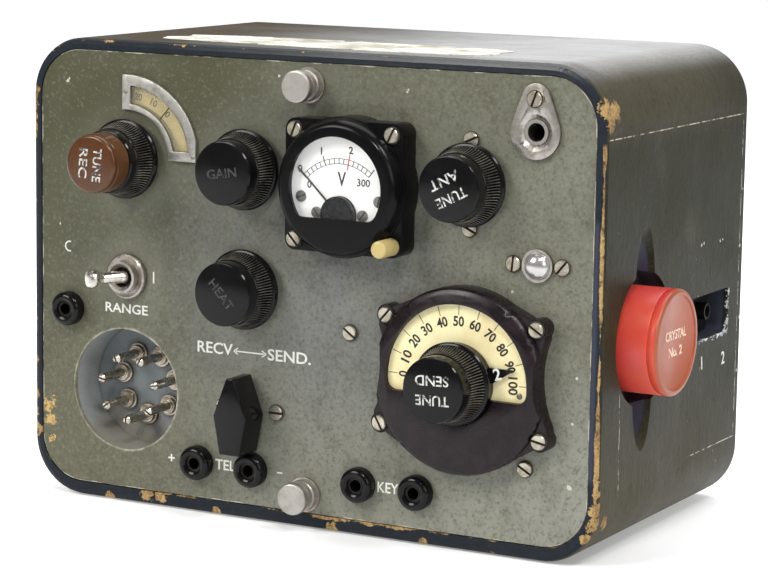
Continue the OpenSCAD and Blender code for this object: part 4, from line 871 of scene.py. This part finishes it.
def word(text, width, height, turn, at, bold):
    """Letters as a mesh on XY, fitted to a width and height; width 0 keeps their shape."""
    rest()
    bpy.ops.object.text_add(location=(0, 0, 0))
    obj = bpy.context.object
    obj.data.body = text
    obj.data.offset = bold
    obj.data.extrude = 0.5
    obj.data.resolution_u = 3
    bpy.ops.object.convert(target="MESH")
    obj = bpy.context.object
    edit(obj)
    close_up(obj)
    co = [v.co for v in obj.data.vertices]
    low = Vector((min(p.x for p in co), min(p.y for p in co), 0))
    high = Vector((max(p.x for p in co), max(p.y for p in co), 0))
    tall = height * MM / max(high.y - low.y, 1e-6)
    wide = width * MM / max(high.x - low.x, 1e-6) if width else tall
    obj.data.transform(Matrix.Translation((at[0] * MM, at[1] * MM, 0))
                       @ Matrix.Rotation(math.radians(turn), 4, "Z")
                       @ Matrix.Diagonal((wide, tall, sizes().print_depth, 1))
                       @ Matrix.Translation(-(low + high) / 2 + Vector((0, 0, 0.5))))
    return obj


def stroke(start, end, width):
    """A straight printed line between two points."""
    rest()
    start, end = Vector((*start, 0)) * MM, Vector((*end, 0)) * MM
    run, thick = end - start, sizes().print_depth
    bpy.ops.mesh.primitive_cube_add(size=1, location=(0, 0, 0))
    obj = bpy.context.object
    obj.data.transform(Matrix.Translation((start + end) / 2 + Vector((0, 0, thick / 2)))
                       @ Matrix.Rotation(math.atan2(run.y, run.x), 4, "Z")
                       @ Matrix.Diagonal((run.length, width * MM, thick, 1)))
    return obj


def ray(angle, inner, outer, width):
    return stroke(polar(angle, inner), polar(angle, outer), width)


def arc_line(name, radius, width, start, end):
    """A printed arc about the origin, with a closed section."""
    thick = sizes().print_depth / MM
    inner, outer = radius - width / 2, radius + width / 2
    section = [(inner, 0), (outer, 0), (outer, thick), (inner, thick), (inner, 0)]
    obj = turned(name, section, max(12, int(abs(end - start) / 2)), end - start, start)
    edit(obj)
    bpy.ops.mesh.select_all(action="DESELECT")
    bpy.ops.mesh.select_non_manifold(extend=False)
    bpy.ops.mesh.edge_face_add()
    return close_up(obj)


def dress(obj, body, slot, finish, *nodes):
    """Gives a finished piece its material and body, and hides the nodes it stands for; slot is not used."""
    obj.data.materials.clear()
    obj.data.materials.append(FINISHES[finish])
    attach(obj, body)
    if nodes:
        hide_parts(*nodes)


def printed(name, marks, place, body, slot, finish, turn=0.0):
    """Joins marks into one print at a place (x, y, z) on the panel's side."""
    dress(at_front(joined(name, marks), *place, turn), body, slot, finish)


# Operators, one for each piece or group of pieces


class STATION_OT_finishes(bpy.types.Operator):
    """Makes the finishes and puts them on the pieces that keep their CAD shape"""
    bl_idname = "station.finishes"
    bl_label = "Finishes"

    def execute(self, context):
        make_finishes()
        kept = {
            "case": ("case_boards", "right_board", "corner_posts", "back_board"),
            "timber": ("fixing_blocks",),
            "insulator": ("socket_plate", "selector_switch", "button_contact", "toggle_body", "rheostat"),
            "dark_brass": ("contact_tubes",),
            "panel": ("front_panel",),
            "aluminium": ("variable_capacitors", "chassis"),
            "celluloid": ("window_pane",),
            "old_scale": ("scale_disc",),
            "scale": ("transmitter_scale",),
            "nickel": ("receiver_shaft", "feedback_shaft", "filament_shaft", "antenna_shaft",
                       "transmitter_shaft", "selector_shaft", "toggle_bush", "terminal_bush", "crystal_pins",
                       "thumb_washers", "lamp_bush"),
            "pin": ("connector_pins",),
            "black": ("transmitter_pointer",),
            "ink": ("meter_needle",),
            "dark_steel": ("dial_screws",),
            "slotted": ("panel_screws",),
            "card": ("meter_dial",),
            "glass": ("meter_glass",),
            "cup": ("connector_cup",),
            "valve": ("valves",),
        }
        for finish, nodes in kept.items():
            for node in nodes:
                slots = frame["nodes"][node].data.materials
                slots.clear()
                slots.append(FINISHES[finish])
        return {"FINISHED"}


def ribbed_knob(control):
    """A knob with a rounded skirt, a ribbed flare and a plain grip, on its shaft's axis."""
    low, high = box(control + "_knob")
    tall = high.y - low.y
    steps = 2 * sizes().knurl_ribs
    grip = [(11.2, 9.55), (10.95, 9.8), (10.9, tall - 1.3), (10.8, tall - 0.6), (10.5, tall - 0.15),
            (10.1, tall), (0, tall)]
    knob = turned(control + "_knob_ribbed", SKIRT + FLARE + grip, steps)
    flute(knob, 2.85, 9.45, steps, sizes().knurl_depth / MM, 12.0)
    x, z = axis_of(control + "_turn")
    FINISHES[control + "_knob"] = ribbed_moulding(control, high.y)
    dress(at_front(knob, x, high.y, z), control + "_control", "black_bakelite", control + "_knob",
          control + "_knob")


def face_words(name, control, node, rows, turn, finish):
    """Rubbed letters on a knob's face: rows of (text, width, height, offset up)."""
    marks = [word(text, width, height, 0, (0, up), 0.012) for text, width, height, up in rows]
    x, z = axis_of(control + "_turn")
    printed(name, marks, (x, box(node)[0].y, z), control + "_control", "white_lens", finish, turn)


class STATION_OT_knobs(bpy.types.Operator):
    """Turns the five ribbed knobs and the receiver's brown cap, with their rubbed letters"""
    bl_idname = "station.knobs"
    bl_label = "Knobs"

    def execute(self, context):
        for control in ("receiver", "feedback", "filament", "antenna", "transmitter"):
            ribbed_knob(control)
        tall, r = round_size("receiver_cap")
        cap = turned("receiver_cap_turned", [
            (0, 0), (r - 0.2, 0), (r, 0.3), (r, tall - 2.4), (r - 0.25, tall - 2.2), (r - 0.3, tall - 0.9),
            (r - 0.6, tall - 0.35), (r - 1.1, tall - 0.06), (r - 1.6, tall), (0, tall)], 96)
        x, z = axis_of("receiver_turn")
        dress(at_front(cap, x, box("receiver_cap")[1].y, z), "receiver_control", "brown_bakelite", "brown",
              "receiver_cap")
        face_words("receiver_cap_letters", "receiver", "receiver_cap",
                   [("TUNE", 11.5, 3.4, 2.8), ("REC", 10, 3.4, -2.8)], -94, "knob_white")
        for control, rows, turn, finish in (
                ("feedback", [("GAIN", 11.5, 3.2, 0)], 8, "faint_white"),
                ("filament", [("HEAT", 12, 3.2, 0)], -48, "faint_white"),
                ("antenna", [("TUNE", 11.5, 3.4, 3.0), ("ANT", 11, 3.4, -3.0)], 207, "knob_white"),
                ("transmitter", [("TUNE", 12, 3.4, 3.2), ("SEND", 12, 3.4, -3.2)], 182, "knob_white")):
            face_words(control + "_letters", control, control + "_knob", rows, turn, finish)
        return {"FINISHED"}


class STATION_OT_receiver_window(bpy.types.Operator):
    """Rounds the window frame and prints the turning scale and the index line"""
    bl_idname = "station.receiver_window"
    bl_label = "Receiver window"

    def execute(self, context):
        dress(softened("window_frame", "window_frame_rounded", 0.28), "station", "aluminium", "aluminium",
              "window_frame")
        x, z = axis_of("receiver_turn")
        hairline = 47.6
        printed("window_index", [ray(hairline, 19.2, 24.9, 0.42)], (x, box("window_pane")[0].y, z), "station",
                "dark_metal", "ink")
        rivet = turned("rivet", [(0, 0), (0.7, 0), (0.66, 0.12), (0.4, 0.26), (0, 0.3)], 16)
        rivets = repeated("window_rivets", rivet, box("window_frame")[0].y,
                          [(x - 0.4, z + 23.0), (x + 27.0, z + 1.9)])
        dress(rivets, "station", "steel", "dark_steel")
        marks = []
        outer = 25.1
        for value in range(0, 101):
            angle = hairline + 1.8 * value
            length = 2.2 if value % 10 == 0 else 1.5 if value % 5 == 0 else 0.9
            marks.append(ray(angle, outer - length, outer, 0.3 if value % 5 == 0 else 0.18))
            if value % 10 == 0:
                marks.append(word(str(value), 0, 2.5, angle - 90, polar(angle, 21.3), 0.03))
        printed("receiver_scale_print", marks, (x, box("scale_disc")[0].y, z), "receiver_control",
                "dark_metal", "ink")
        return {"FINISHED"}


class STATION_OT_transmitter_dial(bpy.types.Operator):
    """Rounds the escutcheon, prints its scale and numbers the pointer"""
    bl_idname = "station.transmitter_dial"
    bl_label = "Transmitter dial"

    def execute(self, context):
        dress(softened("escutcheon", "escutcheon_rounded", 0.75, 3), "station", "black_bakelite",
              "brown_black", "escutcheon")
        x, z = axis_of("transmitter_turn")
        scale_y = box("transmitter_scale")[0].y
        marks = []
        for value in range(0, 101, 10):
            angle = 90 - 1.76 * (value - 50)
            text = str(value)
            marks.append(ray(angle, 22.1, 25.4, 0.22))
            marks.append(word(text, 1.95 * len(text), 3.4, angle - 90, polar(angle, 20.0), 0.026))
        printed("transmitter_scale_print", marks, (x, scale_y, z), "station", "dark_metal", "ink")
        rivet = turned("scale_rivet", [(0, 0), (1.0, 0), (0.95, 0.2), (0.6, 0.42), (0, 0.5)], 24)
        dress(at_front(rivet, x + 22.4, scale_y, z - 2.4), "station", "steel", "dark_steel")
        blade_y = box("transmitter_pointer")[1].y - 1.0
        printed("pointer_numeral", [word("2", 0, 4.0, 0, (15.6, 0), 0.02)], (x, blade_y, z),
                "transmitter_control", "white_lens", "white", 16)
        return {"FINISHED"}


def meter_cover():
    """The meter's domed cover with its round opening, cut off straight below with rounded corners."""
    tall, wide = round_size("meter_cover")
    rim, pocket, lid = 19.7, 18.4, tall - 0.75
    cover = turned("meter_cover_domed", [
        (pocket, 0), *bulge(wide - rim, tall, range(0, 91, 9), rim), (0, tall), (0, lid), (pocket, lid),
        (pocket, 0)], 128)
    r, drop, corner = 17.2, 9.9, 4.0
    cy = corner - drop
    cx = math.sqrt((r - corner) ** 2 - cy ** 2)
    first = math.degrees(math.atan2(cy, cx))
    outline = bulge(r, r, [first + (180 - 2 * first) * k / 64 for k in range(65)])
    outline += bulge(corner, corner, [180 - first + (90 + first) * k / 10 for k in range(1, 11)], -cx, cy)
    outline += bulge(corner, corner, [270 + (90 + first) * k / 10 for k in range(10)], cx, cy)
    return smooth(carved(cover, prism("opening", outline, tall - 2, 4)), 28)


def meter_dial_print(x, y, z):
    """Prints the dial's two arcs, its divisions and numbers, and the red mark."""
    zero, full = 138.0, 51.0
    inner, outer = 16.9, 18.6
    marks = [arc_line("outer_arc", outer, 0.2, full, zero), arc_line("inner_arc", inner, 0.2, full, zero)]
    reds = []
    for step in range(16):
        angle = zero + (full - zero) * step / 15
        whole = step % 5 == 0
        if step == 10:
            reds.append(ray(angle, inner - 1.7, outer + 1.7, 0.42))
        else:
            marks.append(ray(angle, inner, outer + 1.6 if whole else outer, 0.36 if whole else 0.28))
    for text, angle, radius in (("0", zero - 1.5, 20.9), ("1", 109, 21.9), ("2", 79.6, 21.9),
                                ("0", zero + 3, 14.9), ("300", full + 1, 14.2)):
        marks.append(word(text, 0, 2.5, 0, polar(angle, radius), 0.02))
    marks.append(word("V", 3.2, 4.8, 0, (0.6, 11.9), 0.02))
    printed("meter_print", marks, (x, y, z), "station", "dark_metal", "ink")
    printed("meter_red_mark", reds, (x, y, z), "station", "red_plastic", "red_ink")


class STATION_OT_meter(bpy.types.Operator):
    """Rounds the meter's case, turns its domed cover and works, and prints the dial"""
    bl_idname = "station.meter"
    bl_label = "Meter"

    def execute(self, context):
        dress(softened("meter_case", "meter_case_rounded", 0.8, 3), "station", "black_bakelite", "meter",
              "meter_case")
        mx, mz = middle_of("meter_cover")
        dress(at_front(meter_cover(), mx, box("meter_cover")[1].y, mz), "station", "black_bakelite", "meter",
              "meter_cover")
        px, pz = axis_of("needle_swing")
        meter_dial_print(px, box("meter_dial")[0].y, pz)
        # Painted shade: dark strokes on the dial screws stand for their shadowed slots.
        slots = []
        for dx, dz, angle in ((-14.6, -3.6, 20), (14.6, -3.6, 75), (-8.6, -8.6, 130), (8.6, -8.6, 50)):
            c, s = polar(angle, 1.8)
            slots.append(stroke((dx - c, dz - s), (dx + c, dz + s), 0.55))
        printed("dial_screw_slot_shade", slots, (mx, box("dial_screws")[0].y, mz), "station", "dark_metal", "ink")
        core = round_size("meter_movement")[1]
        face = box("meter_movement")[0].y
        rise = face - box("meter_glass")[1].y - 0.3
        crown = turned("works_crown", [
            (core - 0.05, -0.2), *bulge(core, rise, range(6, 60, 6)), (core * 0.42, rise * 0.84),
            (core * 0.40, rise * 0.96), (core * 0.30, rise), (0, rise), (0, -0.2), (core - 0.05, -0.2)], 64)
        works = softened("meter_movement", "meter_works_rounded", 0.2)
        dress(joined("meter_works_domed", [works, at_front(crown, px, face, pz)]), "station", "dark_metal",
              "works", "meter_movement")
        return {"FINISHED"}


class STATION_OT_switches(bpy.types.Operator):
    """Rounds the selector bar and turns the toggle's lever and ring nut and the push button"""
    bl_idname = "station.switches"
    bl_label = "Selector, toggle and button"

    def execute(self, context):
        dress(softened("selector_knob", "selector_bar_rounded", 0.9, 3), "selector_control", "black_bakelite",
              "black", "selector_knob")
        tx, ty, tz = pivot_of("toggle_tip")
        lever = turned("toggle_lever_turned", [
            (0, -2.6), (1.35, -2.22), (2.2, -1.39), (2.6, 0), (2.35, 1.1), (2.2, 1.9), (2.0, 8.0),
            (1.85, 8.45), (2.0, 8.9), (2.55, 9.7), (3.1, 10.6), (3.37, 11.5), (3.4, 12.1), (3.2, 13.1),
            (2.65, 13.8), (1.8, 14.05), (0, 14.1)], 48)
        lever.data.transform(Matrix.Rotation(math.radians(-30), 4, "Y"))
        dress(at_front(lever, tx, ty, tz), "toggle", "steel", "bright", "toggle_lever")
        tall, r = round_size("toggle_nut")
        steps, bore = 120, 5.66
        nut = turned("toggle_nut_ribbed", [
            (bore, 0), (r, 0), (r, tall * 0.55), (r - 0.35, tall * 0.8), (r - 0.9, tall),
            (r - 1.4, tall - 0.15), (bore, tall - 0.2), (bore, 0)], steps)
        flute(nut, -0.1, tall * 0.6, steps, 0.16, r)
        dress(at_front(nut, tx, box("toggle_nut")[1].y, tz), "station", "steel", "nickel", "toggle_nut")
        tall, r = round_size("range_button")
        button = turned("range_button_turned", [
            (0, 0), (r, 0), (r, tall - 0.8), (r - 0.2, tall - 0.3), (r - 0.6, tall - 0.05), (r - 1.0, tall),
            (0, tall - 0.12)], 48)
        x, z = middle_of("range_button")
        dress(at_front(button, x, box("range_button")[1].y, z), "button", "cream_scale", "button",
              "range_button")
        return {"FINISHED"}


class STATION_OT_sockets(bpy.types.Operator):
    """Turns the socket heads and the stepped bushes of the power connector"""
    bl_idname = "station.sockets"
    bl_label = "Sockets and connector"

    def execute(self, context):
        low, high = box("socket_heads")
        places = mount_places("_socket")
        tall, tail = PANEL_Y - low.y, high.y - PANEL_Y
        r = min(x for x, _ in places) - low.x
        bore = 3.06
        head = turned("socket_head", [
            (bore, -tail), (r - 1.22, -tail), (r - 1.22, 0), (r - 0.3, 0), (r, 0.3), (r, tall - 1.9),
            (r - 0.18, tall - 1.1), (r - 0.65, tall - 0.45), (r - 1.3, tall - 0.08), (r - 1.8, tall),
            (r - 2.3, tall - 0.12), (bore, tall - 0.5), (bore, -tail)], 64)
        dress(repeated("socket_heads_turned", head, PANEL_Y, places), "station", "black_bakelite", "black",
              "socket_heads")
        low, high = box("pin_bushes")
        tall, tail = CUP_FLOOR - low.y, high.y - CUP_FLOOR
        r, bore = 3.8, 1.36
        bush = turned("pin_bush", [
            (bore, -tail), (r - 1.2, -tail), (r - 1.2, 0), (r - 0.2, 0), (r, 0.15), (r, 0.75),
            (r - 0.15, 0.95), (r - 0.8, 1.0), (r - 0.85, 1.2), (r - 0.85, tall - 0.55),
            (r - 1.0, tall - 0.35), (bore + 0.75, tall - 0.3), (bore + 0.7, tall - 0.1), (bore + 0.5, tall),
            (bore, tall), (bore, -tail)], 40)
        dress(repeated("pin_bushes_turned", bush, CUP_FLOOR, mount_places("power_pin")), "station", "steel",
              "bush", "pin_bushes")
        return {"FINISHED"}


def thumb_screw(node, body):
    """A thumb screw with a ribbed lower disc and a plain upper one."""
    low, high = box(node)
    tall, tail, r = PANEL_Y - low.y, high.y - PANEL_Y, round_size(node)[1]
    steps = 96
    screw = turned(node + "_turned", [
        (0, -tail), (2.0, -tail), (2.0, 1.0), (r - 0.2, 1.0), (r, 1.25), (r, 3.4), (r - 0.4, 3.9), (3.8, 4.0),
        (3.7, 4.3), (3.7, tall - 3.2), (r - 0.5, tall - 3.0), (r, tall - 2.7), (r, tall - 0.55),
        (r - 0.2, tall - 0.2), (r - 0.6, tall), (0, tall)], steps)
    flute(screw, 1.1, 3.6, steps, 0.14, r)
    x, z = axis_of(body + "_turn")
    dress(at_front(screw, x, PANEL_Y, z), body, "steel", "satin", node)


class STATION_OT_fittings(bpy.types.Operator):
    """Turns the thumb screws and the lamp, and rounds the earth terminal's plate"""
    bl_idname = "station.fittings"
    bl_label = "Thumb screws, lamp and terminal"

    def execute(self, context):
        thumb_screw("thumb_screw_top", "upper_thumb_screw")
        thumb_screw("thumb_screw_bottom", "lower_thumb_screw")
        low, high = box("lamp_lens")
        tall, tail, r = PANEL_Y - low.y, high.y - PANEL_Y, round_size("lamp_lens")[1]
        lens = turned("lamp_lens_turned", [
            (0, -tail), (r, -tail), *bulge(r, tall - 1.0, range(0, 90, 9), up=1.0), (0, tall)], 64)
        x, z = middle_of("lamp_lens")
        dress(at_front(lens, x, PANEL_Y, z), "station", "white_lens", "lamp", "lamp_lens")
        dress(softened("terminal_plate", "terminal_plate_rounded", 0.3), "station", "steel", "nickel",
              "terminal_plate")
        return {"FINISHED"}


class STATION_OT_crystal(bpy.types.Operator):
    """Turns the crystal holder with its groove, raised rim and plain number"""
    bl_idname = "station.crystal"
    bl_label = "Crystal"

    def execute(self, context):
        low, high = box("crystal_holder")
        y, z = (low.y + high.y) / 2, (low.z + high.z) / 2
        tall, r = high.x - low.x, (high.z - low.z) / 2
        holder = turned("crystal_holder_turned", [
            (0, 0), (r - 0.5, 0), (r, 0.5), (r, tall - 3.8), (r - 0.12, tall - 3.55), (r - 0.55, tall - 3.4),
            (r - 0.55, tall - 3.1), (r - 0.1, tall - 2.95), (r, tall - 2.7), (r, tall - 1.1),
            (r - 0.2, tall - 0.5), (r - 0.6, tall - 0.12), (r - 1.1, tall), (r - 1.7, tall - 0.02),
            (r - 1.95, tall - 0.2), (r - 2.05, tall - 0.55), (r - 2.3, tall - 0.7), (0, tall - 0.7)], 128)
        dress(at_side(holder, low.x, y, z), "crystal", "red_plastic", "crystal", "crystal_holder")
        rows = [word("CRYSTAL", 17, 3.2, 0, (0, 2.8), 0.02), word("No. 2", 11, 3.2, 0, (0, -2.8), 0.02)]
        mark = at_side(joined("crystal_number", rows), high.x - 0.7, y, z)
        dress(mark, "crystal", "white_lens", "cream_mark")
        return {"FINISHED"}


class STATION_OT_letters(bpy.types.Operator):
    """Paints the panel's plain words, signs and arrow, and numbers the antenna sockets"""
    bl_idname = "station.letters"
    bl_label = "Letters"

    def execute(self, context):
        tx, tz = axis_of("toggle_tip")
        arrow_z = 58.1
        marks = [
            word("1", 0, 4.2, 0, (tx + 10.6, tz + 0.2), -0.006),
            word("RANGE", 17.6, 3.4, 0, (tx - 0.6, tz - 11.6), 0.014),
            word("RECV", 14.2, 4.0, 0, (-34.6, 58.4), 0.014),
            word("SEND.", 16.9, 4.0, 0, (-5.1, 58.2), 0.014),
            word("+", 0, 2.6, 0, (-52.2, 17.8), 0.01),
            stroke((-9.5, 17.7), (-7.4, 17.7), 0.5),
            word("TEL", 8.0, 3.6, 0, (-30.2, 17.8), 0.014),
            word("KEY", 8.0, 3.6, 0, (33.6, 17.6), 0.014),
            stroke((-26.2, arrow_z), (-15.2, arrow_z), 0.45),
        ]
        for tip, back in ((-27.1, 1.7), (-14.2, -1.7)):
            for rise in (-1.1, 1.1):
                marks.append(stroke((tip, arrow_z), (tip + back, arrow_z + rise), 0.42))
        crescent = arc_line("crescent", 1.7, 0.5, 70, 290)
        crescent.data.transform(Matrix.Translation((-95.0 * MM, 88.8 * MM, 0)))
        printed("panel_letters", [*marks, crescent], (0, PANEL_Y, 0), "station", "white_lens", "white")
        numbers = [word("1", 0, 4.6, 8, (CASE_LOW.y + 85.4, 54.6), 0.01),
                   word("2", 0, 4.6, 4, (CASE_LOW.y + 105, 53.6), 0.01)]
        dress(at_side(joined("antenna_numbers", numbers), SIDE_X, 0, 0), "station", "white_lens", "white")
        return {"FINISHED"}


class STATION_OT_paper(bpy.types.Operator):
    """Lays the remains of a blank paper strip on the case's top"""
    bl_idname = "station.paper"
    bl_label = "Paper strip"

    def execute(self, context):
        # Each wave of the torn edge: size, rate and shift
        waves = ((0.35, 12.9, 0.0), (0.3, 41.7, 1.3), (0.2, 83.1, 0.0))
        outline = []
        for k, (x, behind) in enumerate(PAPER):
            next_x, next_behind = PAPER[(k + 1) % len(PAPER)]
            for step in range(9):
                t = step / 9
                jag = sum(size * math.sin(rate * (k + t) + shift) for size, rate, shift in waves)
                outline.append((x + (next_x - x) * t + jag * 0.5,
                                CASE_LOW.y + behind + (next_behind - behind) * t + jag))
        dress(prism("paper_strip", outline, CASE_HIGH.z, 0.12), "station", "white_card", "paper")
        return {"FINISHED"}


# Stage, in metres


def lay_floor():
    rest()
    bpy.ops.mesh.primitive_plane_add(size=8, location=(0, 0, -0.0004))
    floor = bpy.context.object
    floor.name = "floor"
    floor.data.materials.append(FINISHES["floor"])


def hang_lights():
    """Square soft lights: name, place, aim, side, power and colour."""
    for name, place, aim, size, power, tint in (
            ("key", (-0.75, -1.25, 1.05), (0.0, 0.0, 0.08), 0.7, 18, (1.0, 0.98, 0.93)),
            ("top", (-0.1, 0.5, 1.5), (0.0, 0.0, 0.1), 1.2, 14, (0.97, 0.985, 1.0)),
            ("fill", (1.5, -0.9, 0.7), (0.05, 0.0, 0.08), 0.8, 6.0, (1.0, 0.98, 0.93)),
            ("glint", (0.42, -0.75, 0.95), (0.0, -0.06, 0.08), 0.16, 4.0, (1.0, 0.99, 0.97)),
            ("side_glint", (0.62, -0.24, 0.86), (0.0, -0.06, 0.1), 0.22, 3.5, (1.0, 0.99, 0.96))):
        bpy.ops.object.light_add(type="AREA", location=place)
        lamp = bpy.context.object
        lamp.name = name
        lamp.data.size = size
        lamp.data.energy = power
        lamp.data.color = tint
        lamp.rotation_euler = (Vector(aim) - Vector(place)).to_track_quat("-Z", "Y").to_euler()


def light_world(scene):
    """A dim world that is bright behind the set only, so that reflections in front stay dark."""
    world = bpy.data.worlds.new("soft_world")
    world.use_nodes = True
    sky, links = world.node_tree.nodes, world.node_tree.links
    where = sky.new("ShaderNodeTexCoord")
    facing = sky.new("ShaderNodeVectorMath")
    facing.operation = "DOT_PRODUCT"
    facing.inputs[1].default_value = (-0.55, 0.83, 0.0)
    bright = sky.new("ShaderNodeMapRange")
    bright.interpolation_type = "SMOOTHSTEP"
    for key, value in (("From Min", 0.5), ("From Max", 0.9), ("To Min", 0.19), ("To Max", 1.1)):
        bright.inputs[key].default_value = value
    links.new(where.outputs["Generated"], facing.inputs[0])
    links.new(facing.outputs["Value"], bright.inputs["Value"])
    links.new(bright.outputs[0], sky["Background"].inputs["Strength"])
    sky["Background"].inputs["Color"].default_value = (0.985, 0.99, 1.0, 1)
    scene.world = world


def aim_camera(scene):
    """The photograph's camera, fitted to the case's corners."""
    azimuth, elevation, roll = [math.radians(v) for v in (28.484, 9.024, 0.870)]
    back = Vector((math.sin(azimuth) * math.cos(elevation), -math.cos(azimuth) * math.cos(elevation),
                   math.sin(elevation)))
    across = Vector((math.cos(azimuth), math.sin(azimuth), 0))
    up = back.cross(across)
    right = math.cos(roll) * across + math.sin(roll) * up
    rise = -math.sin(roll) * across + math.cos(roll) * up
    view = Matrix((right, rise, back)).transposed().to_4x4()
    view.translation = (0.46601, CASE_LOW.y * MM - 0.80139, 0.22835)
    focal_px, frame_px, sensor = 2794.54, 768.0, 36.0
    bpy.ops.object.camera_add()
    camera = bpy.context.object
    camera.name = "camera"
    camera.data.sensor_width = sensor
    camera.data.lens = focal_px / frame_px * sensor
    camera.data.clip_end = 50
    camera.matrix_world = view
    scene.camera = camera


class STATION_OT_stage(bpy.types.Operator):
    """Sets the floor, the soft lights and the camera at the photograph's angle"""
    bl_idname = "station.stage"
    bl_label = "Stage"

    def execute(self, context):
        lay_floor()
        hang_lights()
        light_world(context.scene)
        aim_camera(context.scene)
        context.scene.view_settings.view_transform = "Standard"
        return {"FINISHED"}


class STATION_PT_dressing(bpy.types.Panel):
    """Lists the sizes, colours and steps of the dressing"""
    bl_idname = "STATION_PT_dressing"
    bl_label = "Station"
    bl_space_type = "VIEW_3D"
    bl_region_type = "UI"
    bl_category = "Station"

    def draw(self, context):
        for group in (context.scene.station_sizes, context.scene.station_colours):
            for key in group.__annotations__:
                self.layout.prop(group, key)
        for step in STEPS:
            self.layout.operator(step.bl_idname)


STEPS = (STATION_OT_finishes, STATION_OT_knobs, STATION_OT_receiver_window, STATION_OT_transmitter_dial,
         STATION_OT_meter, STATION_OT_switches, STATION_OT_sockets, STATION_OT_fittings, STATION_OT_crystal,
         STATION_OT_letters, STATION_OT_paper, STATION_OT_stage)
CLASSES = (StationSizes, StationColours, *STEPS, STATION_PT_dressing)


def register():
    for cls in CLASSES:
        bpy.utils.register_class(cls)
    bpy.types.Scene.station_sizes = bpy.props.PointerProperty(type=StationSizes)
    bpy.types.Scene.station_colours = bpy.props.PointerProperty(type=StationColours)


def unregister():
    del bpy.types.Scene.station_sizes
    del bpy.types.Scene.station_colours
    for cls in reversed(CLASSES):
        bpy.utils.unregister_class(cls)


def main():
    register()
    for step in STEPS:
        family, name = step.bl_idname.split(".")
        getattr(getattr(bpy.ops, family), name)()
    rest()


if __name__ == "__main__":
    main()
